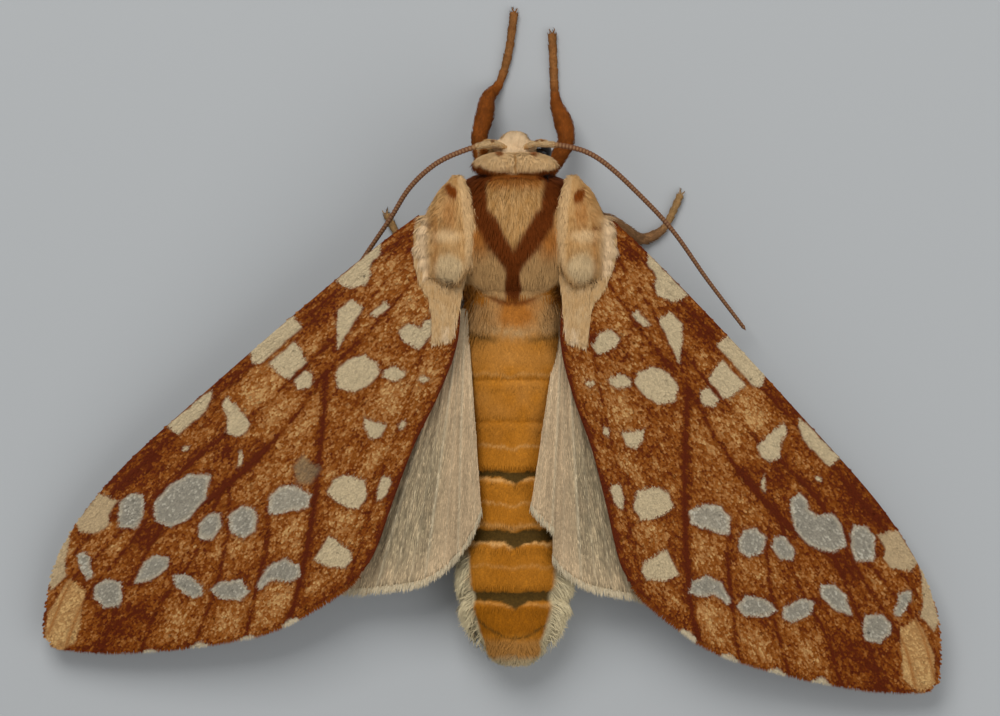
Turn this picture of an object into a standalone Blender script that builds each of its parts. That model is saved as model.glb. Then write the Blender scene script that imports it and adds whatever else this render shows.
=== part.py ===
"""A hickory tussock moth (Lophocampa caryae) at rest, life size, with its wings half spread.

The head points to -Y and the moth's left side is +X. All six feet stand on z = 0.
Lengths are in millimetres until finish_piece() and curve_piece() turn them into Blender's metres.
x is measured from the body's midline and y from the line through the two forewing hinges.
"""

import functools
import math

import bmesh
import bpy
import numpy as np
from mathutils import Matrix, Vector

MM = 0.001
GAP = 0.08  # left between two pieces that meet
WING_THICKNESS = 0.5

HINGE_X = 1.7  # each forewing turns about a point this far from the midline
SPREAD_DEG = {"left": 43.6, "right": 50.0}  # from the moth's side axis to the forewing's apex
HIND_TURN_DEG = {"left": 0.0, "right": 4.5}  # how much further back a hindwing is drawn
SIDE_SIGN = {"left": 1, "right": -1}

# Forewing outline. s runs from the hinge to the apex, t from that line towards the leading edge.
FOREWING_ROOT = 0.9
FOREWING_APEX = 22.65
LEADING_EDGE = [
    (0.5, 1.9), (3, 2.2), (7, 2.5), (11, 2.7), (15, 2.85), (17, 2.75), (19, 2.4), (20.5, 1.8), (21.5, 1.1),
    (22.2, 0.5), (22.55, 0.05), (22.65, -0.3),
]
TRAILING_EDGE = [
    (0.5, 0.3), (2, -1.6), (3.2, -2.7), (5, -3.6), (7, -4.35), (9, -5.3), (11, -6.3), (12.3, -6.62),
    (14, -6.4), (16, -5.8), (18, -4.6), (20, -3.1), (21.2, -2.05), (22, -1.2), (22.45, -0.65), (22.65, -0.3),
]

# Height of the middle of the forewing: a plane that falls outwards and backwards, with a slight camber.
WING_HEIGHT = 3.95
FALL_OUTWARDS = 0.14
FALL_BACKWARDS = 0.045
WING_CAMBER = 0.3
CAMBER_CHORD = 6  # a part of the wing narrower than this has less camber

# Hindwing outline, as a fan about a point on the flank: degrees outwards from +Y, and the radius there.
FAN_CENTRE = (1.9, 1.6)
FAN_ROOT = 1.2
FAN_RADIUS = [
    (-4, 9.2), (-1, 10.2), (3.5, 11.3), (8, 12.0), (14, 12.5), (21, 13.1), (37, 13.9), (50, 13.2),
    (60, 11.0),
]
UNDER_FOREWING = 0.72  # from the forewing's middle down to the hindwing's
DRAPE_RISE = 1.2  # the inner margin lies up over the abdomen
DRAPE_WIDTH = 1.95
DRAPE_EDGE = 2.5  # how sharply the drape falls off at that distance from the midline
DRAPE_STARTS, DRAPE_FULL = 3.8, 7.5

# Body sections: (y, half width, bottom, widest level, top)
THORAX = [
    (-2.62, 1.0, 2.2, 3.0, 3.9), (-2.4, 1.7, 1.7, 3.0, 4.35), (-1.9, 2.2, 1.25, 3.0, 4.8),
    (-0.8, 2.6, 0.95, 3.0, 5.15), (0.6, 2.7, 0.85, 2.9, 5.2), (1.6, 2.45, 0.9, 2.8, 4.9),
    (2.15, 2.1, 1.0, 2.6, 4.45), (2.35, 1.8, 1.2, 2.5, 4.1),
]
ABDOMEN = [
    (2.4, 1.85, 0.7, 2.4, 4.25), (4, 1.95, 0.5, 2.3, 4.1), (7, 2.0, 0.35, 2.1, 3.85),
    (10, 2.1, 0.3, 1.95, 3.65), (12.5, 2.15, 0.3, 1.85, 3.45), (14, 2.05, 0.35, 1.75, 3.2),
    (15.2, 1.65, 0.5, 1.65, 2.85), (16.0, 1.15, 0.8, 1.6, 2.4), (16.4, 0.6, 1.15, 1.6, 2.05),
]
SEGMENT_ENDS = [2.4, 4.0, 5.5, 7.2, 9.0, 11.35, 13.65, 15.2, 16.4]
SEGMENT_TUCK = 0.06  # how far a segment's front edge draws in under the one before it
BODY_SIDES = 20

HEAD_CENTRE, HEAD_HALF = (0, -3.18, 3.1), (1.15, 0.72, 1.0)
FRONS_CENTRE, FRONS_HALF = (0, -3.48, 3.05), (0.7, 0.42, 0.75)
EYE_CENTRE, EYE_RADIUS = (0.95, -3.27, 3.02), 0.54
COLLAR_CENTRE, COLLAR_HALF = (0.82, -2.62, 4.05), (0.86, 0.5, 0.5)
COLLAR_TURN = (-25, 12, -10)
# Shoulder lobe: (y, x of its inner edge, x of its outer edge, height of its middle, half thickness)
TEGULA = [
    (-2.4, 1.95, 2.4, 3.75, 0.18), (-2.2, 1.85, 2.65, 3.85, 0.3), (-1.8, 1.72, 3.0, 4.02, 0.42),
    (-1.2, 1.58, 3.42, 4.14, 0.52), (-0.6, 1.5, 3.75, 4.18, 0.6), (0.2, 1.5, 3.87, 4.18, 0.62),
    (1.0, 1.6, 3.75, 4.15, 0.56), (1.5, 1.8, 3.5, 4.12, 0.42), (1.8, 2.1, 3.2, 4.08, 0.22),
]
TEGULA_TILT_DEG = 26  # the lobe slopes down towards the wing
TEGULA_SIDES = 12

# Feelers and legs: (x, y, z) with the tube's radius. x is positive on the moth's left.
ANTENNA_RADIUS = 0.25
ANTENNAE = {
    "left": [
        (0.3, -3.3, 3.7), (0.95, -3.42, 3.98), (2.0, -3.15, 4.05), (3.04, -2.66, 3.75), (4.0, -1.8, 3.2),
        (4.75, -0.65, 2.65), (5.6, 0.57, 2.2), (6.5, 1.9, 1.75), (7.4, 3.2, 1.4), (8.2, 4.35, 1.2),
    ],
    "right": [
        (-0.3, -3.3, 3.7), (-0.95, -3.44, 3.98), (-2.47, -3.2, 4.15), (-3.4, -2.7, 4.0), (-4.75, -1.5, 3.4),
        (-6.0, -0.2, 2.7), (-7.4, 1.7, 1.8), (-8.9, 3.62, 1.1),
    ],
}
PALP = [
    (0.32, -3.0, 2.05, 0.24), (0.35, -3.35, 1.9, 0.26), (0.36, -3.6, 1.95, 0.26), (0.36, -3.74, 2.15, 0.24),
]
LEGS = {
    "foreleg_left": [
        (0.75, -1.9, 1.9, 0.42), (1.2, -2.8, 1.5, 0.4), (1.36, -3.7, 1.5, 0.38),
        (1.15, -4.7, 1.15, 0.44), (1.03, -5.35, 0.62, 0.34), (0.6, -5.95, 0.27, 0.26),
        (0.25, -7.1, 0.22, 0.25), (0.02, -8.7, 0.22, 0.26),
    ],
    "foreleg_right": [
        (-0.75, -1.9, 1.9, 0.42), (-1.5, -2.8, 1.6, 0.4), (-1.95, -3.6, 1.5, 0.4),
        (-1.88, -4.35, 1.1, 0.44), (-1.62, -5.1, 0.5, 0.3), (-1.55, -5.6, 0.27, 0.25),
        (-1.5, -6.6, 0.22, 0.25), (-1.45, -7.88, 0.22, 0.26),
    ],
    "midleg_left": [
        (1.2, -0.3, 1.5, 0.4), (2.2, 0.2, 1.7, 0.36), (3.1, 0.9, 1.7, 0.32), (3.5, 1.3, 0.95, 0.3),
        (3.75, 1.2, 0.35, 0.27), (4.05, 0.8, 0.22, 0.25), (4.45, 0.1, 0.22, 0.25), (4.95, -0.88, 0.22, 0.26),
    ],
    "midleg_right": [
        (-1.2, -0.3, 1.5, 0.4), (-2.4, -0.6, 1.75, 0.36), (-3.5, -0.6, 1.8, 0.32), (-4.3, -0.2, 1.0, 0.3),
        (-4.8, 0.06, 0.4, 0.27), (-5.2, 0.02, 0.22, 0.25), (-5.75, -0.32, 0.22, 0.25),
        (-6.13, -1.0, 0.22, 0.25), (-6.42, -1.65, 0.22, 0.26),
    ],
    "hindleg_left": [
        (1.0, 1.0, 1.5, 0.42), (2.2, 1.7, 1.7, 0.38), (3.3, 2.6, 1.75, 0.32), (4.0, 4.2, 1.1, 0.3),
        (4.5, 5.6, 0.45, 0.28), (4.7, 6.3, 0.22, 0.25), (5.0, 7.6, 0.22, 0.25), (5.3, 9.0, 0.22, 0.26),
    ],
    "hindleg_right": [
        (-1.0, 1.0, 1.5, 0.42), (-2.2, 1.8, 1.7, 0.38), (-3.2, 2.8, 1.75, 0.32), (-3.7, 4.5, 1.1, 0.3),
        (-4.0, 6.0, 0.45, 0.28), (-4.1, 6.7, 0.22, 0.25), (-4.3, 8.0, 0.22, 0.25), (-4.5, 9.4, 0.22, 0.26),
    ],
}

# How finely each form is divided.
THORAX_STEPS = 16
SEGMENT_STEPS = 3
TEGULA_STEPS = 10
FOREWING_STATIONS, FOREWING_ACROSS = 24, 6
HINDWING_STATIONS, HINDWING_OUT = 14, 7
HINDWING_CROWDING = 1.2  # above 1, the stations crowd towards the inner margin, which curves most
LEG_STEPS, ANTENNA_STEPS, PALP_STEPS = 20, 18, 6
TUBE_SIDES = 8
BALL_SEGMENTS = 16
WELD = 0.001  # points of a tube's cap closer than this become one
FLOOR_BLOCK = 60  # side of the block that stands for the floor

# Base colour and roughness of each finish.
FINISHES = {
    "wing_rust": ((0.42, 0.17, 0.05), 0.75),
    "hindwing_pale": ((0.72, 0.66, 0.58), 0.6),
    "cream_fur": ((0.78, 0.6, 0.38), 0.9),
    "thorax_fur": ((0.45, 0.22, 0.08), 0.9),
    "abdomen_ochre": ((0.6, 0.31, 0.08), 0.7),
    "leg_brown": ((0.36, 0.17, 0.06), 0.8),
    "antenna_brown": ((0.42, 0.22, 0.14), 0.7),
    "eye_black": ((0.01, 0.01, 0.01), 0.15),
}


def smooth_through(points):
    """A function through the points (x, value...), cubic between neighbours, that never runs past them."""
    xs = [p[0] for p in points]
    values = [np.array(p[1:], float) for p in points]
    slopes = []
    for i in range(len(xs)):
        before, after = max(i - 1, 0), min(i + 1, len(xs) - 1)
        slopes.append((values[after] - values[before]) / (xs[after] - xs[before]))

    def at(x):
        i = max(0, min(len(xs) - 2, sum(x >= other for other in xs) - 1))
        span = xs[i + 1] - xs[i]
        u = max(0.0, min(1.0, (x - xs[i]) / span))
        start = values[i] * (2 * u**3 - 3 * u**2 + 1) + slopes[i] * span * (u**3 - 2 * u**2 + u)
        end = values[i + 1] * (3 * u**2 - 2 * u**3) + slopes[i + 1] * span * (u**3 - u**2)
        return start + end

    return at


def smooth_route(points, steps):
    """Points spread evenly along a smooth curve through the route's points, which may carry a radius too."""
    along = [0.0]
    for a, b in zip(points, points[1:]):
        along.append(along[-1] + math.dist(a[:3], b[:3]))
    curve = smooth_through([(d, *p) for d, p in zip(along, points)])
    return [curve(along[-1] * i / steps) for i in range(steps + 1)]


def finish_of(name):
    colour, roughness = FINISHES[name]
    made = bpy.data.materials.get(name)
    if made is None:
        made = bpy.data.materials.new(name)
        made.use_nodes = True
        shader = made.node_tree.nodes["Principled BSDF"]
        shader.inputs["Base Color"].default_value = (*colour, 1)
        shader.inputs["Roughness"].default_value = roughness
    return made


def finish_piece(name, bm, finish):
    """Turns a bmesh in millimetres into a named object in metres."""
    bmesh.ops.scale(bm, vec=(MM, MM, MM), verts=bm.verts)
    bmesh.ops.recalc_face_normals(bm, faces=bm.faces)
    mesh = bpy.data.meshes.new(name)
    bm.to_mesh(mesh)
    bm.free()
    mesh.materials.append(finish_of(finish))
    piece = bpy.data.objects.new(name, mesh)
    moth.objects.link(piece)
    mesh.shade_smooth()
    return piece


@functools.cache
def cutter_of(piece):
    """A hidden copy of a finished piece, swollen by the gap."""
    bpy.context.view_layer.update()
    evaluated = piece.evaluated_get(bpy.context.evaluated_depsgraph_get())
    mesh = bpy.data.meshes.new_from_object(evaluated)
    swollen = bmesh.new()
    swollen.from_mesh(mesh)
    swollen.normal_update()
    for vertex in swollen.verts:
        vertex.co += vertex.normal * GAP * MM * vertex.calc_shell_factor()
    swollen.to_mesh(mesh)
    swollen.free()
    cutter = bpy.data.objects.new("cut_by_" + piece.name, mesh)
    cutter.hide_render = True
    cutter.display_type = "WIRE"
    cutters.objects.link(cutter)
    return cutter


def cut(piece, cutter, operation="DIFFERENCE"):
    boolean = piece.modifiers.new(cutter.name, "BOOLEAN")
    boolean.operation = operation
    boolean.solver = "EXACT"
    boolean.object = cutter
    return piece


def trim(piece, *neighbours):
    """Cuts the piece back so that it meets each neighbour at the gap."""
    for neighbour in neighbours:
        cut(piece, cutter_of(neighbour))
    return piece


def ellipsoid(name, centre, half, finish, turn=(0, 0, 0), rings=10):
    bm = bmesh.new()
    bmesh.ops.create_uvsphere(bm, u_segments=BALL_SEGMENTS, v_segments=rings, radius=1)
    turned = Matrix.Translation(centre)
    for axis, degrees in zip("YXZ", (turn[1], turn[0], turn[2])):
        turned = turned @ Matrix.Rotation(math.radians(degrees), 4, axis)
    bmesh.ops.transform(bm, matrix=turned @ Matrix.Diagonal((*half, 1)), verts=bm.verts)
    return finish_piece(name, bm, finish)


def on_side(side, point):
    """A point given for the moth's left, or its mirror image for the right."""
    return (SIDE_SIGN[side] * point[0], *point[1:])


def mirrored_turn(side, turn):
    return (turn[0], SIDE_SIGN[side] * turn[1], SIDE_SIGN[side] * turn[2])


def body_ring(bm, section, y, draw_in=0.0):
    """One closed ring of the body: half an ellipse above the widest level and half below it."""
    half_width, bottom, widest, top = section(y)
    ring = []
    for i in range(BODY_SIDES):
        turn = 2 * math.pi * i / BODY_SIDES
        rise = (top if math.sin(turn) > 0 else 2 * widest - bottom) - widest
        x = (half_width - draw_in) * math.cos(turn)
        z = widest + (rise - draw_in) * math.sin(turn)
        ring.append(bm.verts.new((x, y, z)))
    return ring


def bridge(bm, rings):
    """Skins neighbouring rings and closes both ends."""
    for a, b in zip(rings, rings[1:]):
        for i in range(len(a)):
            j = (i + 1) % len(a)
            bm.faces.new((a[i], a[j], b[j], b[i]))
    bm.faces.new(rings[0][::-1])
    bm.faces.new(rings[-1])


def make_thorax():
    section = smooth_through(THORAX)
    first, last = THORAX[0][0], THORAX[-1][0]
    bm = bmesh.new()
    levels = [first + (last - first) * i / THORAX_STEPS for i in range(THORAX_STEPS + 1)]
    bridge(bm, [body_ring(bm, section, y) for y in levels])
    return finish_piece("thorax", bm, "thorax_fur")


def make_collar(side):
    """The small lobe of hair between the head and the thorax."""
    centre, turn = on_side(side, COLLAR_CENTRE), mirrored_turn(side, COLLAR_TURN)
    return trim(ellipsoid(f"collar_{side}", centre, COLLAR_HALF, "cream_fur", turn), thorax)


def make_tegula(side):
    """The flat lobe over a wing's shoulder: rings along y that slope down towards the wing."""
    section = smooth_through(TEGULA)
    first, last = TEGULA[0][0], TEGULA[-1][0]
    tilt = math.radians(TEGULA_TILT_DEG)
    bm = bmesh.new()
    rings = []
    for step in range(TEGULA_STEPS + 1):
        y = first + (last - first) * step / TEGULA_STEPS
        inner, outer, middle_z, thickness = section(y)
        ring = []
        for i in range(TEGULA_SIDES):
            turn = 2 * math.pi * i / TEGULA_SIDES
            across = (outer - inner) / 2 * math.cos(turn)
            lift = thickness * math.sin(turn)
            x = (inner + outer) / 2 + across + lift * math.sin(tilt)
            z = middle_z - across * math.tan(tilt) + lift * math.cos(tilt)
            ring.append(bm.verts.new((SIDE_SIGN[side] * x, y, z)))
        rings.append(ring)
    bridge(bm, rings)
    return finish_piece(f"tegula_{side}", bm, "cream_fur")


def make_abdomen():
    """One piece for each segment. Its front edge is drawn in, as if tucked under the segment before it."""
    section = smooth_through(ABDOMEN)
    made = []
    for number, (front, back) in enumerate(zip(SEGMENT_ENDS, SEGMENT_ENDS[1:]), start=1):
        bm = bmesh.new()
        start, length = front + GAP / 2, back - front - GAP
        rings = []
        for i in range(SEGMENT_STEPS + 1):
            share = i / SEGMENT_STEPS
            draw_in = SEGMENT_TUCK * (1 - share) ** 2
            rings.append(body_ring(bm, section, start + length * share, draw_in))
        bridge(bm, rings)
        made.append(finish_piece(f"abdomen_{number}", bm, "abdomen_ochre"))
    return made


def plate(name, grid, finish):
    """A wing: a sheet through a grid of points, thickened evenly to both sides."""
    bm = bmesh.new()
    rows = [[bm.verts.new(p) for p in row] for row in grid]
    for a, b in zip(rows, rows[1:]):
        for i in range(len(a) - 1):
            bm.faces.new((a[i], a[i + 1], b[i + 1], b[i]))
    wing = finish_piece(name, bm, finish)
    solidify = wing.modifiers.new("thickness", "SOLIDIFY")
    solidify.thickness = WING_THICKNESS * MM
    solidify.offset = 0
    solidify.use_even_offset = True
    return wing


def wing_plane(x, y):
    """Height of the forewing's middle before its camber."""
    return WING_HEIGHT - FALL_OUTWARDS * (abs(x) - HINGE_X) - FALL_BACKWARDS * y


def from_wing(side, s, t):
    """The x, y of a point given by its place on the forewing."""
    turn = math.radians(SPREAD_DEG[side])
    out = HINGE_X + s * math.cos(turn) + t * math.sin(turn)
    return SIDE_SIGN[side] * out, s * math.sin(turn) - t * math.cos(turn)


def make_forewing(side):
    leading, trailing = smooth_through(LEADING_EDGE), smooth_through(TRAILING_EDGE)
    grid = []
    for i in range(FOREWING_STATIONS):
        s = FOREWING_ROOT + (FOREWING_APEX - FOREWING_ROOT) * math.sin(math.pi / 2 * i / FOREWING_STATIONS)
        front, back = leading(s)[0], trailing(s)[0]
        camber = WING_CAMBER * min(1, (front - back) / CAMBER_CHORD)
        row = []
        for j in range(FOREWING_ACROSS + 1):
            share = 2 * j / FOREWING_ACROSS - 1
            x, y = from_wing(side, s, (front + back) / 2 + share * (front - back) / 2)
            row.append((x, y, wing_plane(x, y) + camber * (1 - share**2)))
        grid.append(row)
    return plate(f"forewing_{side}", grid, "wing_rust")


def drape(x, y):
    """How far the hindwing rises to pass over the abdomen."""
    share = max(0.0, min(1.0, (y - DRAPE_STARTS) / (DRAPE_FULL - DRAPE_STARTS)))
    ramp = share * share * (3 - 2 * share)
    return DRAPE_RISE * ramp * math.exp(-((abs(x) / DRAPE_WIDTH) ** DRAPE_EDGE))


def make_hindwing(side):
    radius = smooth_through(FAN_RADIUS)
    first, last = FAN_RADIUS[0][0], FAN_RADIUS[-1][0]
    grid = []
    for i in range(HINDWING_STATIONS + 1):
        degrees = first + (last - first) * (i / HINDWING_STATIONS) ** HINDWING_CROWDING
        turn = math.radians(degrees - HIND_TURN_DEG[side])
        row = []
        for j in range(HINDWING_OUT + 1):
            reach = FAN_ROOT + (radius(degrees)[0] - FAN_ROOT) * j / HINDWING_OUT
            x = FAN_CENTRE[0] + reach * math.sin(turn)
            y = FAN_CENTRE[1] + reach * math.cos(turn)
            row.append((SIDE_SIGN[side] * x, y, wing_plane(x, y) - UNDER_FOREWING + drape(x, y)))
        grid.append(row)
    return plate(f"hindwing_{side}", grid, "hindwing_pale")


def curve_piece(name, points, finish):
    """A closed tube along points of (x, y, z, radius), as a mesh in metres."""
    curve = bpy.data.curves.new(name, "CURVE")
    curve.dimensions = "3D"
    curve.bevel_depth = MM
    curve.bevel_resolution = (TUBE_SIDES - 4) // 2
    curve.use_fill_caps = True
    spline = curve.splines.new("POLY")
    spline.points.add(len(points) - 1)
    for place, point in zip(spline.points, points):
        place.co = (*(point[:3] * MM), 1)
        place.radius = point[3]
    guide = bpy.data.objects.new(name + "_curve", curve)
    moth.objects.link(guide)
    bpy.context.view_layer.update()
    mesh = bpy.data.meshes.new_from_object(guide.evaluated_get(bpy.context.evaluated_depsgraph_get()))
    bpy.data.objects.remove(guide)
    bm = bmesh.new()
    bm.from_mesh(mesh)
    bmesh.ops.remove_doubles(bm, verts=bm.verts, dist=WELD * MM)
    bmesh.ops.scale(bm, vec=(1 / MM, 1 / MM, 1 / MM), verts=bm.verts)
    return finish_piece(name, bm, finish)


def make_leg(name):
    """A leg from its hip to its foot, with its underside flat where it lies on the floor."""
    leg = curve_piece(name, smooth_route(LEGS[name], LEG_STEPS), "leg_brown")
    return cut(leg, floor_cutter)


def make_floor_cutter():
    bm = bmesh.new()
    bmesh.ops.create_cube(bm, size=FLOOR_BLOCK)
    bmesh.ops.translate(bm, vec=(0, 0, -FLOOR_BLOCK / 2), verts=bm.verts)
    cutter = finish_piece("floor_cutter", bm, "leg_brown")
    cutter.hide_render = True
    cutter.display_type = "WIRE"
    moth.objects.unlink(cutter)
    cutters.objects.link(cutter)
    return cutter


def make_head(collar):
    """Head with its face bulge, cut back for the eyes, the collar and the thorax."""
    head = ellipsoid("head", HEAD_CENTRE, HEAD_HALF, "cream_fur")
    frons = ellipsoid("frons", FRONS_CENTRE, FRONS_HALF, "cream_fur")
    frons.hide_render = True
    moth.objects.unlink(frons)
    cutters.objects.link(frons)
    cut(head, frons, "UNION")
    eyes = [
        ellipsoid(f"eye_{side}", on_side(side, EYE_CENTRE), (EYE_RADIUS,) * 3, "eye_black", rings=8)
        for side in SIDE_SIGN
    ]
    trim(head, thorax, *collar, *eyes)
    return head


def stand_on_origin():
    """Moves the whole moth so that the middle of its box, on the floor, is the origin."""
    bpy.context.view_layer.update()
    graph = bpy.context.evaluated_depsgraph_get()
    corners = [Vector(c) for piece in moth.objects for c in piece.evaluated_get(graph).bound_box]
    middle = [(min(c[i] for c in corners) + max(c[i] for c in corners)) / 2 for i in (0, 1)]
    anchor = bpy.data.objects.new("moth", None)
    moth.objects.link(anchor)
    for piece in [*moth.objects, *cutters.objects]:
        if piece is not anchor:
            piece.parent = anchor
    anchor.location = (-middle[0], -middle[1], 0)


for leftover in list(bpy.data.objects):
    bpy.data.objects.remove(leftover)
moth = bpy.data.collections.new("moth")
cutters = bpy.data.collections.new("cutters")
for collection in (moth, cutters):
    bpy.context.scene.collection.children.link(collection)
floor_cutter = make_floor_cutter()

thorax = make_thorax()
abdomen = make_abdomen()
collar_lobes = [make_collar(side) for side in SIDE_SIGN]
trim(collar_lobes[1], collar_lobes[0])
head = make_head(collar_lobes)

for side in SIDE_SIGN:
    forewing = trim(make_forewing(side), thorax)
    trim(make_hindwing(side), *abdomen[:3])
    trim(make_tegula(side), thorax, forewing)
    antenna = smooth_route([(*p, ANTENNA_RADIUS) for p in ANTENNAE[side]], ANTENNA_STEPS)
    trim(curve_piece(f"antenna_{side}", antenna, "antenna_brown"), head)
    palp = smooth_route([on_side(side, p) for p in PALP], PALP_STEPS)
    trim(curve_piece(f"palp_{side}", palp, "cream_fur"), head)
for leg_name in LEGS:
    trim(make_leg(leg_name), thorax)
stand_on_origin()
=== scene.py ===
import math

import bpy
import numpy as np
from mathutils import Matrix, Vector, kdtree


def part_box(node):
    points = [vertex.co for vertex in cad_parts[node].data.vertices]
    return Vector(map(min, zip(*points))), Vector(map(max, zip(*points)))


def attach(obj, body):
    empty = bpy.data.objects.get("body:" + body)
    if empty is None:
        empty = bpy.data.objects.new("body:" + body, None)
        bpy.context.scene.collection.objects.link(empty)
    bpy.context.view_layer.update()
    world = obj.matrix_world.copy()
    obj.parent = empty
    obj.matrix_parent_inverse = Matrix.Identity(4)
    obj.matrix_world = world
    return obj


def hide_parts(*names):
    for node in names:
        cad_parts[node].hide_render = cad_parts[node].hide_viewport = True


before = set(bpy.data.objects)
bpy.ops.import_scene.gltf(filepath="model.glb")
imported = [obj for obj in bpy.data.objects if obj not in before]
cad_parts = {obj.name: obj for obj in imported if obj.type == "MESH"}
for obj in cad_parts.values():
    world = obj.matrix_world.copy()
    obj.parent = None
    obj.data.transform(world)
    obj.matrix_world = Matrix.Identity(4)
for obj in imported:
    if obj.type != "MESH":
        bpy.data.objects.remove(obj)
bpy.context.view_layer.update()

# A hickory tussock moth at rest: one skin for its body and legs, thin wings, and a coat of scales and hair.
# The head points to -Y and the moth's left side is +X. Shapes are worked out in millimetres, with x from the
# body's midline and y from the line through the forewing hinges, and add_piece() puts them in the frame.

MM = 0.001
SIDES = {"left": 1, "right": -1}
EYE = (0.95, -3.27, 3.02)  # the left eye's centre


def box_middle(node):
    low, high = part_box(node)
    return (np.array(low) + np.array(high)) / 2


EYES_MIDDLE = (box_middle("eye_left") + box_middle("eye_right")) / 2
ORIGIN = np.array([EYES_MIDDLE[0], EYES_MIDDLE[1] - EYE[1] * MM, 0.0])

# ---------------------------------------------------------------- shapes shared with the solids

HINGE_X = 1.7
SPREAD_DEG = {"left": 43.6, "right": 50.0}
HIND_TURN_DEG = {"left": 0.0, "right": 4.5}
FOREWING_ROOT, FOREWING_APEX = 0.9, 22.65
LEADING_EDGE = [
    (0.5, 1.9), (3, 2.2), (7, 2.5), (11, 2.7), (15, 2.85), (17, 2.75), (19, 2.4), (20.5, 1.8), (21.5, 1.1),
    (22.2, 0.5), (22.55, 0.05), (22.65, -0.3),
]
TRAILING_EDGE = [
    (0.5, 0.3), (2, -1.6), (3.2, -2.7), (5, -3.6), (7, -4.35), (9, -5.3), (11, -6.3), (12.3, -6.62), (14, -6.4),
    (16, -5.8), (18, -4.6), (20, -3.1), (21.2, -2.05), (22, -1.2), (22.45, -0.65), (22.65, -0.3),
]
WING_HEIGHT, FALL_OUTWARDS, FALL_BACKWARDS, WING_CAMBER = 3.95, 0.14, 0.045, 0.3
FAN_CENTRE, FAN_ROOT = (1.9, 1.6), 1.2
FAN_RADIUS = [(-4, 9.2), (-1, 10.2), (3.5, 11.3), (8, 12.0), (14, 12.5), (21, 13.1), (37, 13.9), (50, 13.2), (60, 11.0)]
UNDER_FOREWING = 0.72
DRAPE_RISE, DRAPE_WIDTH, DRAPE_STARTS, DRAPE_FULL = 1.2, 1.95, 3.8, 7.5

# Body sections: (y, half width, bottom, widest level, top)
THORAX = [
    (-2.62, 1.0, 2.2, 3.0, 3.9), (-2.4, 1.7, 1.7, 3.0, 4.35), (-1.9, 2.2, 1.25, 3.0, 4.8), (-0.8, 2.6, 0.95, 3.0, 5.15),
    (0.6, 2.7, 0.85, 2.9, 5.2), (1.6, 2.45, 0.9, 2.8, 4.9), (2.15, 2.1, 1.0, 2.6, 4.45), (2.35, 1.8, 1.2, 2.5, 4.1),
]
ABDOMEN = [
    (2.4, 1.85, 0.7, 2.4, 4.25), (4, 1.95, 0.5, 2.3, 4.1), (7, 2.0, 0.35, 2.1, 3.85), (10, 2.1, 0.3, 1.95, 3.65),
    (12.5, 2.15, 0.3, 1.85, 3.45), (14, 2.05, 0.35, 1.75, 3.2), (15.2, 1.65, 0.5, 1.65, 2.85),
    (16.0, 1.15, 0.8, 1.6, 2.4), (16.4, 0.6, 1.15, 1.6, 2.05),
]
HEAD = ((0, -3.1, 3.05), (0.92, 0.6, 0.94))
FRONS = ((0, -3.42, 3.2), (0.6, 0.52, 0.78))
BROW = ((0, -3.26, 3.28), (0.95, 0.38, 0.6))  # between the antennae
EYE_BALL = ((0.97, -3.16, 3.1), 0.43)  # the eye itself, within its solid
COLLAR_PLATE = ((0.7, -2.72, 3.98), (0.98, 0.42, 0.4), (-25, 10, 9))
COLLAR_FOLD = ((0, -2.66, 4.02), (0.55, 0.36, 0.34))  # between the two plates
COLLAR = [(COLLAR_PLATE, 1), (COLLAR_PLATE, -1), (COLLAR_FOLD, 1)]  # each form, and its side
# Shoulder lobe: (y, x of its inner edge, x of its outer edge, height of its middle, half thickness)
TEGULA = [
    (-2.4, 1.95, 2.4, 3.75, 0.18), (-2.2, 1.85, 2.65, 3.85, 0.3), (-1.8, 1.72, 3.0, 4.02, 0.42),
    (-1.2, 1.58, 3.42, 4.14, 0.52), (-0.6, 1.5, 3.75, 4.18, 0.6), (0.2, 1.5, 3.87, 4.18, 0.62),
    (1.0, 1.6, 3.75, 4.15, 0.56), (1.5, 1.8, 3.5, 4.12, 0.42), (1.8, 2.1, 3.2, 4.08, 0.22),
]
TEGULA_TILT = math.radians(26)
ANTENNAE = {
    "left": [
        (0.3, -3.3, 3.7), (0.95, -3.42, 3.98), (2.0, -3.15, 4.05), (3.04, -2.66, 3.75), (4.0, -1.8, 3.2),
        (4.75, -0.65, 2.65), (5.6, 0.57, 2.2), (6.5, 1.9, 1.75), (7.4, 3.2, 1.4), (8.2, 4.35, 1.2),
    ],
    "right": [
        (-0.3, -3.3, 3.7), (-0.95, -3.44, 3.98), (-2.47, -3.2, 4.15), (-3.4, -2.7, 4.0), (-4.75, -1.5, 3.4),
        (-6.0, -0.2, 2.7), (-7.4, 1.7, 1.8), (-8.9, 3.62, 1.1),
    ],
}
PALP = [(0.32, -3.0, 2.05, 0.24), (0.35, -3.35, 1.9, 0.26), (0.36, -3.6, 1.95, 0.26), (0.36, -3.74, 2.15, 0.24)]
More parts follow.
